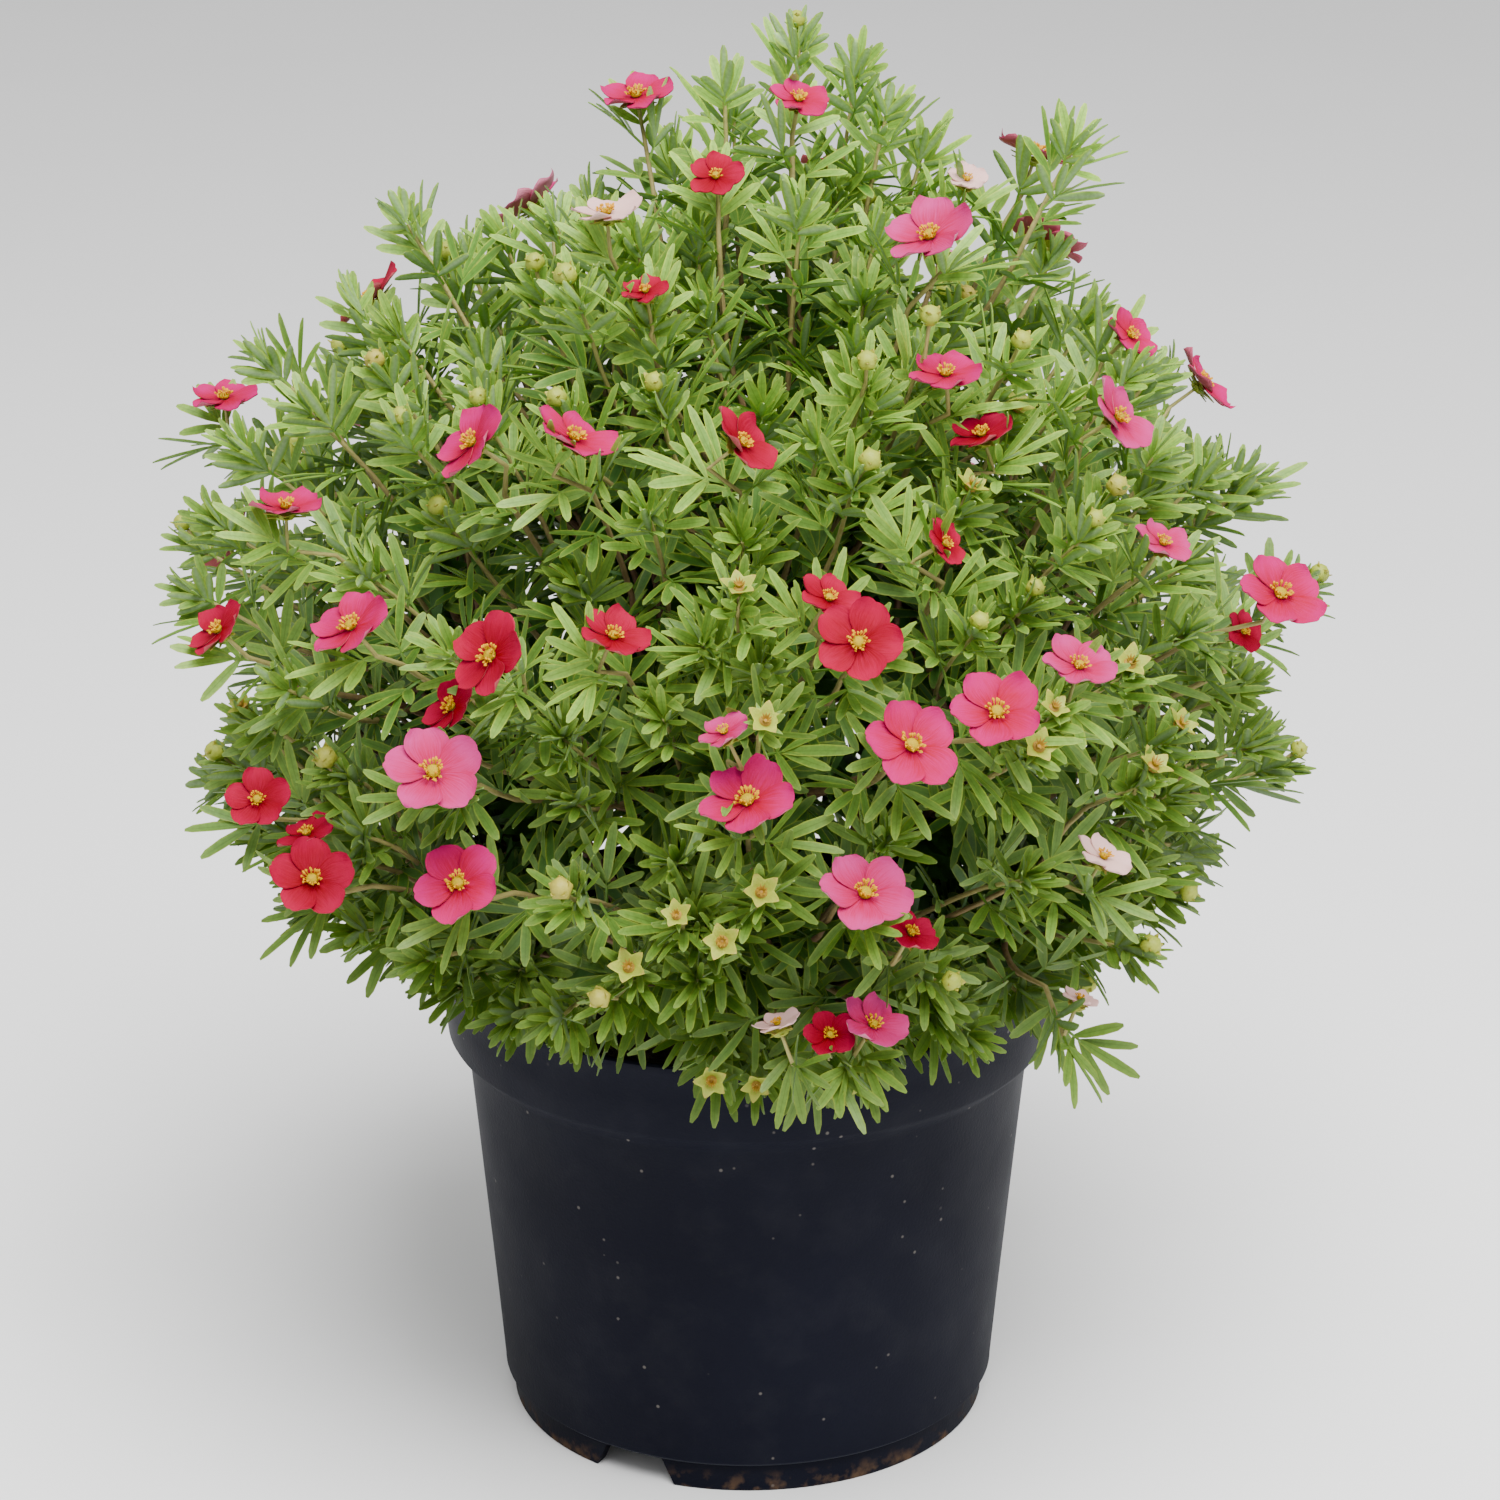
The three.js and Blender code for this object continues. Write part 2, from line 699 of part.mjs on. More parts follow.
// Leaflets as thick lines, for the clearance.
function leafletLines(frame, leaflets) {
  const hub = new THREE.Vector3().setFromMatrixPosition(frame);
  return leaflets.map((leaflet) => {
    const [right, left] = leafletEnd(leaflet);
    const end = right.add(left).multiplyScalar(0.5).applyMatrix4(frame);
    return { from: hub, to: end, radius: leafletHalfWidth };
  });
}

function petioleLine(frame) {
  const root = new THREE.Vector3(-petioleLength / 2, 0, 0).applyMatrix4(frame);
  return { from: root, to: new THREE.Vector3().setFromMatrixPosition(frame), radius: petioleHalfWidth };
}

// A leaf at a distance back from the end of a shoot, leaning out from it by a tilt. It is turned round the
// shoot, and at last made smaller, until it stands clear of every other piece, or else left out.
function leafOn(shoot, distance, tilt, startTurn, seed) {
  const { place, along } = backAlong(shoot.line, distance);
  const across = new THREE.Vector3(0.02, 0.01, 1).cross(along).normalize();
  for (let attempt = 0; attempt < leafAttempts; attempt += 1) {
    const size = mix(0.9, 1.12, draw(seed, 5)) * (attempt > leafAttempts / 2 ? 0.85 : 1);
    const side = across.clone().applyAxisAngle(along, radians(startTurn + (attempt * 360) / leafAttempts));
    const reach = along.clone().multiplyScalar(Math.cos(radians(tilt)));
    reach.addScaledVector(side, Math.sin(radians(tilt)));
    const upperSide = along.clone().multiplyScalar(Math.sin(radians(tilt)));
    upperSide.addScaledVector(side, -Math.cos(radians(tilt)));
    const frame = standing(place.clone().addScaledVector(reach, petioleLength), reach, upperSide);
    const lines = [...leafletLines(frame, leafLeaflets(size)), petioleLine(frame)];
    if (isClear(lines, shoot)) {
      take(lines);
      return [leafSolid(frame, size)];
    }
  }
  return [];
}

// A twig that ends in a tuft, some with a bud, turned or at last made smaller until it stands clear.
function tuftedTwig(shoot, seed) {
  const { place, along } = backAlong(shoot.line, 0);
  const across = new THREE.Vector3(0.02, 0.01, 1).cross(along).normalize();
  const bud = { from: place, to: place.clone().addScaledVector(along, budLength), radius: budRadius };
  for (let attempt = 0; attempt < leafAttempts; attempt += 1) {
    const turn = 360 * draw(seed, 5) + (attempt * 360) / leafAttempts;
    const size = mix(0.9, 1.12, draw(seed, 6)) * (attempt > leafAttempts / 2 ? 0.8 : 1);
    const sideways = across.clone().applyAxisAngle(along, radians(turn));
    const frame = standing(place, sideways, along);
    const lines = [...leafletLines(frame, tuftLeaflets(size)), bud];
    if (isClear(lines, shoot)) {
      take(lines);
      const chain = [...shoot.line.slice(0, -1), place.clone().addScaledVector(along, -tuftThickness / 2)];
      return headedRod(chain, twigRadii, 3, sideways, tuftHead(frame, size, shoot.budded));
    }
  }
  return rod(shoot.line, twigRadii, 3, across);
}

// Blooms

// Five petals fused at their roots, with the raised boss of the stamens, facing up their own z axis.
function bloomHead(tip) {
  const step = 360 / petals;
  const at = (reach, angle, height) => {
    const place = new THREE.Vector3(Math.cos(radians(angle)), Math.sin(radians(angle)), 0);
    return place.multiplyScalar(reach * tip.size).setZ(height);
  };
  const outline = [];
  const boss = [];
  for (let petal = 0; petal < petals; petal += 1) {
    const middle = petal * step;
    outline.push(
      at(petalValleyReach, middle - step / 2, petalCup * 0.3),
      at(petalShoulderReach, middle - petalShoulderTurn, petalCup - petalTwist),
      at(petalReach, middle, petalCup * 0.8),
      at(petalShoulderReach, middle + petalShoulderTurn, petalCup + petalTwist),
    );
    boss.push(at(stamenRadius, middle, bloomThickness / 2));
  }
  const count = outline.length;
  const top = count + petals;
  const bossFaces = boss.map((_, petal) => [top, count + petal, count + ((petal + 1) % petals)]);
  const upperFaces = [...facesToRing(count, petals), ...bossFaces];
  const frame = bloomFrame(tip);
  const points = [...outline, ...boss, at(0, 0, bloomThickness / 2 + stamenHeight)];
  return { points: points.map((point) => point.applyMatrix4(frame)), outlineCount: count, upperFaces };
}

// A bloom by itself, closed underneath to a point over its calyx.
function bloomSolid(tip) {
  const { points, outlineCount, upperFaces } = bloomHead(tip);
  const under = points.length;
  const lowerFaces = Array.from({ length: outlineCount }, (_, i) => [under, (i + 1) % outlineCount, i]);
  const middle = tip.place.clone().addScaledVector(tip.face, -bloomThickness / 2);
  return facetedSolid([...points, middle], [...upperFaces, ...lowerFaces]);
}

// A twig with its bloom grown on, where the bloom is not a piece of its own.
function bloomingTwig(shoot) {
  const sideways = new THREE.Vector3().setFromMatrixColumn(bloomFrame(shoot), 0);
  const seat = shoot.place.clone().addScaledVector(shoot.face, -bloomThickness / 2);
  const chain = [...shoot.line.slice(0, -1), seat];
  const radii = [twigRootRadius, twigTipRadius, calyxRadius];
  return headedRod(chain, radii, 3, sideways.applyAxisAngle(shoot.face, radians(24)), bloomHead(shoot));
}

function bloomFrame(tip) {
  const spin = new THREE.Vector3(1, 0, 0).applyAxisAngle(new THREE.Vector3(0, 0, 1), 6.28 * tip.place.x);
  const xAxis = spin.cross(tip.face);
  return standing(tip.place, xAxis, tip.face);
}

// The petals as thick lines, for the clearance of what stands near them.
function bloomLines(tip) {
  const frame = bloomFrame(tip);
  const middle = tip.place;
  return Array.from({ length: petals }, (_, petal) => {
    const angle = radians((petal * 360) / petals);
    const reach = petalLineReach * tip.size;
    const to = new THREE.Vector3(reach * Math.cos(angle), reach * Math.sin(angle), petalCup * 0.7);
    return { from: middle, to: to.applyMatrix4(frame), radius: petalLineRadius * tip.size };
  });
}

// Inner mass of foliage of one stem: a rough block within the stem's own cell, which its twigs stand out of.
function coreSolid(stem, number) {
  const columns = Math.round(stem.width / coreColumnWidth);
  const across = columns + 1;
  const edge = 1.5;
  const points = [];
  [coreInside, coreOutside].forEach((share, layer) => {
    for (let row = 0; row <= coreRows; row += 1) {
      for (let column = 0; column < across; column += 1) {
        const polar = mix(stem.from + edge, stem.to - edge, row / coreRows);
        const half = stem.width / 2 - edge;
        const azimuth = stem.azimuth + mix(-half, half, column / columns);
        const uneven = coreUnevenness * (2 * draw(number * 40 + row * across + column, 6 + layer) - 1);
        points.push(growthPoint(azimuth, polar, share + layer * uneven));
      }
    }
  });
  for (let row = 0; row < coreRows; row += 1) {
    for (let column = 0; column < columns; column += 1) {
      const polar = mix(stem.from, stem.to, (row + 0.5) / coreRows);
      const azimuth = stem.azimuth + stem.width * ((column + 0.5) / columns - 0.5);
      const uneven = coreUnevenness * (2 * draw(number * 40 + row * across + column, 8) - 1);
      points.push(growthPoint(azimuth, polar, coreOutside + corePeak + uneven));
    }
  }
  const at = (layer, row, column) => (layer * (coreRows + 1) + row) * across + column;
  const peak = (row, column) => 2 * (coreRows + 1) * across + row * columns + column;
  const triangles = [];
  const face = (a, b, c, d) => triangles.push([a, b, c], [a, c, d]);
  for (let row = 0; row < coreRows; row += 1) {
    for (let column = 0; column < columns; column += 1) {
      const next = column + 1;
      const rim = [at(1, row, column), at(1, row + 1, column), at(1, row + 1, next), at(1, row, next)];
      rim.forEach((corner, i) => triangles.push([corner, rim[(i + 1) % 4], peak(row, column)]));
      face(at(0, row, column), at(0, row, next), at(0, row + 1, next), at(0, row + 1, column));
    }
    face(at(0, row, 0), at(0, row + 1, 0), at(1, row + 1, 0), at(1, row, 0));
    face(at(0, row + 1, columns), at(0, row, columns), at(1, row, columns), at(1, row + 1, columns));
  }
  for (let column = 0; column < columns; column += 1) {
    const next = column + 1;
    const end = coreRows;
    face(at(0, 0, next), at(0, 0, column), at(1, 0, column), at(1, 0, next));
    face(at(0, end, column), at(0, end, next), at(1, end, next), at(1, end, column));
  }
  return facetedSolid(points, triangles);
}

// Soil

// The level direction across a stem's own plane.
function sidewaysOf(stem) {
  return direction(stem.azimuth + 90, 90);
}

function stemBase(stem) {
  return growthPoint(stem.azimuth, stem.polar, 0);
}

function soilSolid() {
  const bottom = footHeight + wall + gap;
  const bodyTop = potHeight - collarHeight - collarStepHeight;
  const inner = wall + gap + 0.3;
  const profile = [
    [0, bottom],
    [bodyFootRadius - inner, bottom],
    [bodyTopRadius - inner, bodyTop],
    [collarFootRadius - inner, bodyTop + collarStepHeight],
    [collarFootRadius - inner + 0.6, soilTop - 2],
    [collarFootRadius - 14, soilTop],
    [collarFootRadius - 40, soilTop + 1],
    [0, soilTop + 1],
  ];
  const body = new THREE.LatheGeometry(profile.map(([r, z]) => new THREE.Vector2(r, z)), soilSides);
  body.rotateX(Math.PI / 2);
  const place = body.attributes.position;
  for (let i = 0; i < place.count; i += 1) {
    if (place.getZ(i) >= soilTop && Math.hypot(place.getX(i), place.getY(i)) > 1) {
      const spot = Math.round(place.getX(i)) * 31 + Math.round(place.getY(i)) * 17;
      place.setZ(i, place.getZ(i) + soilUnevenness * (draw(spot, 9) - 0.5));
    }
  }
  return stems.reduce((whole, stem) => whole.subtract(holeSolid(stem)), solidOf(body));
}

function holeSolid(stem) {
  const base = stemBase(stem);
  const bottom = base.clone().setZ(soilTop - holeDepth);
  const radius = stemRadius + holeClearance;
  return rod([bottom, base.clone().setZ(soilTop + 5)], [radius, radius], stemSides, sidewaysOf(stem));
}

// One leafy stem with its inner foliage, twigs, leaves and the buds or calyces at its tips

function stemSolid(stem) {
  const foot = stemBase(stem).setZ(soilTop - holeDepth + gap);
  const points = stemShares.map((share) => growthPoint(stem.azimuth, stem.polar, share));
  points.unshift(foot);
  const radii = points.map((_, i) => mix(stemRadius, stemTipRadius, i / (points.length - 1)));
  return rod(points, radii, stemSides, sidewaysOf(stem));
}

function twigSolid(shoot, seed) {
  if (!shoot.blooms) return tuftedTwig(shoot, seed);
  if (shoot.grownOn) return bloomingTwig(shoot);
  const sideways = new THREE.Vector3(0.02, 0.01, 1).cross(shoot.face);
  return rod(shoot.line, [twigRootRadius, twigTipRadius, calyxRadius], 3, sideways);
}

const mostNodes = 60;
const ownBlooms = mostNodes - 2 - stems.length;
const shoots = [
  ...bloomTips.map((tip, i) => ({ ...tip, blooms: true, grownOn: i >= ownBlooms, line: bloomLine(tip) })),
  ...leafyTips.map((tip, i) => ({ ...tip, budded: i % budEvery === 0, line: leafyLine(tip) })),
];
bloomTips.forEach((tip) => take(bloomLines(tip)));
shoots.forEach((shoot) => take(thickLines(shoot.line.slice(0, 3), twigRootRadius), shoot));

const foliage = stems.map((stem, number) => [stemSolid(stem), coreSolid(stem, number)]);
shoots.forEach((shoot, i) => {
  const turn = 360 * draw(i, 11);
  const distance = (shoot.blooms ? stalkLength + 2 : 12) + sideLeafSpread * draw(i, 13);
  const twig = twigSolid(shoot, 2 * i);
  foliage[shoot.stem].push(twig);
  if (!shoot.blooms || i % bareEvery > 0) {
    foliage[shoot.stem].push(...leafOn(shoot, distance, leafLean, turn, 2 * i + 1));
  }
});

const plant = new THREE.Group();
plant.add(meshOf("pot", potSolid(), potMaterial));
plant.add(meshOf("soil", soilSolid(), soilMaterial));
const twoDigits = (number) => String(number).padStart(2, "0");
bloomTips.slice(0, ownBlooms).forEach((tip, i) => {
  plant.add(meshOf(`bloom_${twoDigits(i + 1)}`, bloomSolid(tip), petalMaterials[tip.colour]));
});
foliage.forEach((solids, i) => {
  plant.add(meshOf(`stem_${twoDigits(i + 1)}`, joined(solids), foliageMaterial));
});

export default plant;
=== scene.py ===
"""A shrubby cinquefoil in bloom, in a nursery pot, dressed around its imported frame.

Lengths are in millimetres until a mesh is made, and the frame's axes hold: +Z up, the front towards -Y.
Directions in the crown are an azimuth, turned from the front towards +X, and a polar angle down from +Z,
both in degrees.
"""

import json
import math
from types import SimpleNamespace

import bpy
import numpy as np
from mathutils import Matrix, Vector, noise


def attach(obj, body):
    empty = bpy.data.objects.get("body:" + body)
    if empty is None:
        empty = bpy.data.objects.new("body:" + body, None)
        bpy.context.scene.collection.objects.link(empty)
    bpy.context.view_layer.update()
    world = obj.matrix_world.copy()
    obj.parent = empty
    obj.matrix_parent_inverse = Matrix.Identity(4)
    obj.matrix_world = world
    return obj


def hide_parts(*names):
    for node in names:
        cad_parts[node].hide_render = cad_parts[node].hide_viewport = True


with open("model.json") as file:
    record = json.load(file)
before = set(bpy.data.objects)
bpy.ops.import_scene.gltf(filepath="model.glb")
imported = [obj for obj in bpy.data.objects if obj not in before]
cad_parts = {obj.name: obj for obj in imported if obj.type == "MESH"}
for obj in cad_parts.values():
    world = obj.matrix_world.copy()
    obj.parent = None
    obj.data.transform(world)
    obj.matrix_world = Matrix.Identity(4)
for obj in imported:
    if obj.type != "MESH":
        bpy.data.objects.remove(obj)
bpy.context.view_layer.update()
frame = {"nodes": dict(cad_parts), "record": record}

MM = 0.001
UP = np.array([0, 0, 1.0])
GOLDEN_TURN = 180 * (3 - math.sqrt(5))

# Pot, as in the frame's own
RIM_RADIUS = 95
POT_HEIGHT = 148.2
COLLAR_HEIGHT = 24
COLLAR_FOOT_RADIUS = 92.5
COLLAR_STEP = 5
BODY_TOP_RADIUS = 86.5
BODY_FOOT_RADIUS = 76.7
WALL = 2.2
FOOT_HEIGHT = 10
FOOT_INSET = 2.5
FOOT_WIDTH = 5
NOTCH_AZIMUTHS = (-28, 92, 212)
NOTCH_TOP_WIDTH = 18
NOTCH_BOTTOM_WIDTH = 28
DRAIN_RADIUS = 5
DRAIN_DISTANCE = 60
DRAIN_SIDES = 24
POT_SIDES = 128
POT_CRISP_ANGLE = 35
SOIL_TOP = 134
FLOOR_REACH = 9000

# Crown, as in the frame's own
CROWN_CENTRE = np.array([0.0, 0.0, 258.0])
CROWN_TOP_RADIUS = 152
CROWN_SIDE_GAIN = 26
CROWN_UNDER_LOSS = 20
LOWEST_TIP_POLAR = 137
# Where the shoots reach further or less: azimuth, polar angle, extra reach and width in degrees
UNEVEN_REACH = (
    (90, 6, 27, 10), (90, 34, 27, 8), (-90, 25, -12, 10), (-90, 41, 13, 7), (-90, 66, 13, 10),
    (90, 62, -14, 13), (90, 100, -12, 9), (-60, 128, -16, 14), (-38, 130, -10, 12), (60, 128, -16, 14),
)
# Shoots that make the outline: azimuth and polar angle
OUTLINE_TIPS = (
    (85, 5), (90, 20), (90, 34), (95, 60), (92, 88), (95, 106), (-90, 40),
    (-92, 62), (-95, 84), (-90, 108), (176, 84), (150, 96), (205, 92),
)
# Rings of leafy stems: polar range, number of stems, azimuth of the first
STEM_RINGS = ((1, 50, 3, 25), (50, 90, 5, -14), (90, LOWEST_TIP_POLAR + 2, 6, 4))
STEM_BASE_HEIGHT = SOIL_TOP + 6
STEM_DEPTH = 12
BASE_SPREAD = 48
BASE_SPREAD_POLAR = 125
ARCH_ACROSS = 0.45
ARCH_UP = 0.7
DROOP = 45
CELL_MARGIN = 1.5
SHOOT_SWAY = 2.2

# Shoots and leaves
EVEN_TIPS = 46
EVEN_SPACING = 22
MORE_TIPS = 330
MORE_SPACING = 17
LEAF_REACH = (0.87, 0.93)
INNER_REACH = (0.74, 0.93)
SEEN_REACH = 0.94
BLOOM_REACH = 0.97
BLOOM_ARRIVAL = 0.13
FORK_SHARES = (0.06, 0.3)
TWIG_POINTS = 13
# Distances of the leaves back from the tip of a shoot
LEAF_DISTANCES = np.array([0.6, 2.6, 5.2, 8.6, 13, 18, 24, 30.5, 38, 47, 57, 68])
BLOOM_LEAF_DISTANCES = np.array([9.5, 13, 18, 24, 31, 39, 48, 58, 70])
INNER_DISTANCES = np.linspace(74, 152, 8)
INNER_LENGTHS = (21, 29)
INNER_HALF_WIDTHS = (3.4, 4.5)
INNER_THICKNESS = 0.4
LEAF_TILTS = (20, 68)
LEAF_SIZES = (0.58, 1.06)
LEAFLET_ANGLES = (-60, -28, 0, 28, 60)
LEAFLET_LENGTHS = (13.5, 16.5, 18, 16.5, 13.5)
LEAFLET_HALF_WIDTH = 1.5
LOWEST_PAIR_BACK = 1.8
PETIOLE_LENGTH = 6.5
PETIOLE_SIDES = 3

# Blooms
PETALS = 5
PETAL_REACH = 12.4
STAMENS = 22
BACK_BLOOMS = 20
BACK_AZIMUTHS = (104, 256)
BACK_POLAR = (30, 112)
BACK_COLOURS = ("pink", "red", "light_pink", "pink")
BLOOM_INSET = 0.035
STALK_LENGTH = 9
BLOOM_THICKNESS = 2.2

FRONT_BLOOMS = 44
# The numbers of those nearly cream with age, and of those partly hidden by leaves in the photograph
FADED_BLOOMS = (4, 6, 40, 43, 44)
HIDDEN_BLOOMS = (7, 10, 17, 21, 26, 28, 39)

# Small heads seen between the blooms in the photograph: azimuth and polar angle
SEEN_CALYXES = (
    (1, 125), (12, 131), (-4, 124), (-6, 101), (-2, 103), (1, 98),
    (-1, 72), (1, 83), (28, 84), (26, 87), (-11, 107),
)
SEEN_BUDS = ((28, 45), (42, 48), (-16, 99), (17, 48), (-13, 110))
# Further leafy shoots that the outline in the photograph shows
SEEN_SHOOTS = ((-90, 2), (90, 11), (80, 15), (-91, 50), (92, 75))
# The frame's own tufts with a bud, and how many of the further shoots end in a bud or a spent calyx
BUD_EVERY = 4
MORE_BUDS = 0.16
MORE_CALYXES = 0.1

# Places in the list of materials of a leafy stem, and in that of a bloom, where the calyx is third as well
LEAF, TWIG, CALYX, SPENT = range(4)
PETAL, STAMEN = range(2)

# Camera, fitted to the pot's rim, collar and foot in the photograph
CAMERA_PLACE = np.array([0.0, -1136.0, 616.0])
CAMERA_DOWN = 19.6
CAMERA_LENS = 95.8
CAMERA_SHIFT = 2 / 1500


# Numbers


def draw(item, purpose):
    """A repeatable draw from 0 to 1, the same as the one the frame's shoots were placed by."""
    whole = 0xFFFFFFFF
    bits = ((item + 1) * 0x9E3779B1 ^ (purpose + 1) * 0x85EBCA6B) & whole
    bits = (bits ^ (bits >> 15)) * 0x2C1B3C6D & whole
    bits = (bits ^ (bits >> 12)) * 0x297A2D39 & whole
    return (bits ^ (bits >> 15)) / 2**32


def mix(low, high, share):
    return low + (high - low) * share


def smooth_step(value, low, high):
    share = np.clip((value - low) / (high - low), 0, 1)
    return share * share * (3 - 2 * share)


def unit(vectors):
    return vectors / np.maximum(np.linalg.norm(vectors, axis=-1, keepdims=True), 1e-9)


def stacked(*values):
    """Values broadcast against one another and joined along a last axis."""
    return np.stack(np.broadcast_arrays(*values), -1)


def direction(azimuth, polar):
    azimuth = np.radians(azimuth)
    polar = np.radians(polar)
    across = np.sin(polar)
    return stacked(across * np.sin(azimuth), -across * np.cos(azimuth), np.cos(polar))


def turned(vectors, axes, degrees):
    """Vectors turned round unit axes."""
    angle = np.radians(degrees)[..., None]
    along = np.sum(vectors * axes, -1, keepdims=True)
    cosine = np.cos(angle)
    return vectors * cosine + np.cross(axes, vectors) * np.sin(angle) + axes * along * (1 - cosine)


# Crown


def crown_radius(azimuth, polar):
    """How far the shoot tips reach from the middle of the crown."""
    way = direction(azimuth, polar)
    radius = CROWN_TOP_RADIUS + CROWN_SIDE_GAIN * smooth_step(polar, 45, 92)
    radius = radius - CROWN_UNDER_LOSS * smooth_step(polar, 112, 138)
    for middle_azimuth, middle_polar, extra, width in UNEVEN_REACH:
        apart = np.degrees(np.arccos(np.clip(way @ direction(middle_azimuth, middle_polar), -1, 1)))
        radius = radius + extra * np.exp(-((apart / width) ** 2))
    return radius


def growth_point(azimuth, polar, share):
    """Points a share of the way along the shoots that end in given directions."""
    azimuth, polar, share = np.broadcast_arrays(azimuth, polar, share)
    tip = direction(azimuth, polar) * crown_radius(azimuth, polar)[..., None] + CROWN_CENTRE
    outwards = direction(azimuth, 90)
    tip_distance = np.sum(tip * outwards, -1)
    base_distance = BASE_SPREAD * polar / BASE_SPREAD_POLAR
    bend_distance = mix(base_distance, tip_distance, ARCH_ACROSS)
    bend_height = mix(STEM_BASE_HEIGHT, tip[..., 2], ARCH_UP) + DROOP * smooth_step(polar, 95, 140)
    start = (1 - share) ** 2
    bend = 2 * share * (1 - share)
    end = share**2
    points = outwards * (start * base_distance + bend * bend_distance + end * tip_distance)[..., None]
    points[..., 2] = start * STEM_BASE_HEIGHT + bend * bend_height + end * tip[..., 2]
    return points


def stem_cells():
    """The cell of directions that each leafy stem fills."""
    cells = []
    for low, high, count, turn in STEM_RINGS:
        for i in range(count):
            place = {"azimuth": turn + 360 * i / count, "polar": (low + high) / 2}
            cells.append(SimpleNamespace(low=low, high=high, half_width=180 / count, **place))
    return cells


STEMS = stem_cells()


def turn_from(stem, azimuth):
    """The azimuth counted from a stem's own, between -180 and 180."""
    return (azimuth - stem.azimuth + 180) % 360 - 180


def stem_for(azimuth, polar):
    for number, stem in enumerate(STEMS):
        inside = stem.low - 1 <= polar < stem.high
        if inside and abs(turn_from(stem, azimuth)) <= stem.half_width:
            return number
    return 0


def shoot_points(tip, shares, fork, sway):
    """Points on a shoot that forks off its stem and arches out to a tip of its own, swaying a little."""
    stem = STEMS[tip.stem]
    own = smooth_step(shares, fork, 0.78)
    half = stem.half_width - CELL_MARGIN
    turn = np.clip(turn_from(stem, tip.azimuth), -half, half)
    end = np.clip(tip.polar, stem.low + CELL_MARGIN, stem.high - CELL_MARGIN)
    points = growth_point(stem.azimuth + turn * own, mix(stem.polar, end, own), shares)
    wave = np.sin(np.outer(shares * 17 + 9 * sway[0], [1.0, 1.3, 0.7]) + sway * 6)
    return points + SHOOT_SWAY * wave * (own * (1 - own) * 4)[:, None]


# Shoot tips


def pose_of_bloom(node):
    """Middle, facing, first petal's direction and size of a bloom in the frame, from its solid."""
    vertices = frame["nodes"][node].data.vertices
    points = np.zeros(3 * len(vertices))
    vertices.foreach_get("co", points)
    points = np.unique(np.round(points.reshape(-1, 3) / MM, 3), axis=0)
    middle = points.mean(0)
    distance = np.linalg.norm(points - middle, axis=1)
    rim = points[distance > 0.8 * distance.max()]
    face = np.linalg.svd(rim - rim.mean(0))[2][2]
    face = face * np.sign((rim.mean(0) - middle) @ face)
    height = (points - middle) @ face
    seat = middle + face * (height.min() + BLOOM_THICKNESS / 2)
    across = rim - seat - np.outer((rim - seat) @ face, face)
    longest = np.linalg.norm(across, axis=1)
    return seat, face, unit(across[longest.argmax()]), longest.max() / PETAL_REACH


def shoot(azimuth, polar, reach, head="", seen=True):
    """What leads to a shoot's tip: a direction, the stem it grows on, and whether it has to show."""
    stem = stem_for(azimuth, polar)
    return SimpleNamespace(azimuth=azimuth, polar=polar, reach=reach, head=head, seen=seen, stem=stem)


def new_bloom(name, colour, way, place, face, spin, size):
    bloom = shoot(*way, BLOOM_REACH, head="bloom")
    vars(bloom).update(name=name, colour=colour, place=place, face=face, spin=spin, size=size)
    return bloom


def front_bloom(part):
    """A bloom that is a node of the frame, with its colour from the record."""
    pose = pose_of_bloom(part["node"])
    offset = pose[0] - CROWN_CENTRE
    azimuth = math.degrees(math.atan2(offset[0], -offset[1]))
    polar = math.degrees(math.acos(offset[2] / np.linalg.norm(offset)))
    return new_bloom(part["node"], part["material_slot"].removeprefix("petals_"), (azimuth, polar), *pose)


def back_bloom(number):
    """A bloom that is grown onto a leafy stem of the frame, by the frame's own rule."""
    low, high = np.cos(np.radians(BACK_POLAR))
    polar = math.degrees(math.acos(mix(low, high, (number + 0.5) / BACK_BLOOMS)))
    azimuth = mix(*BACK_AZIMUTHS, (number * GOLDEN_TURN % 360) / 360)
    face_tilt = mix(25, 75, smooth_step(polar, 30, 95)) + 20 * (draw(number, 1) - 0.5)
    face = direction(azimuth + 60 * (draw(number, 2) - 0.5), face_tilt)
    place = growth_point(azimuth, polar, 1 - BLOOM_INSET)
    turn = 6.28 * place[0]
    spin = unit(np.cross([math.cos(turn), math.sin(turn), 0], face))
    colour = BACK_COLOURS[number % len(BACK_COLOURS)]
    name = f"back_bloom_{number + 1:02d}"
    return new_bloom(name, colour, (azimuth, polar), place, face, spin, 0.95 + 0.2 * draw(number, 3))


def all_blooms():
    parts = [part for part in frame["record"]["subparts"] if part["node"].startswith("bloom_")]
    return [front_bloom(part) for part in parts] + [back_bloom(number) for number in range(BACK_BLOOMS)]


def spread_tips(count, start):
    """Directions spread evenly over the crown in a spiral."""
    for i in range(count):
        cosine = mix(1, math.cos(math.radians(LOWEST_TIP_POLAR)), (i + start) / count)
        yield i * GOLDEN_TURN, math.degrees(math.acos(cosine))


def takes_place(azimuth, polar, taken, spacing):
    """Whether a shoot tip stands clear of the places taken before, which it then joins."""
    place = growth_point(azimuth, polar, 1)
    free = min(np.linalg.norm(place - other) for other in taken) > spacing
    if free:
        taken.append(place)
    return free


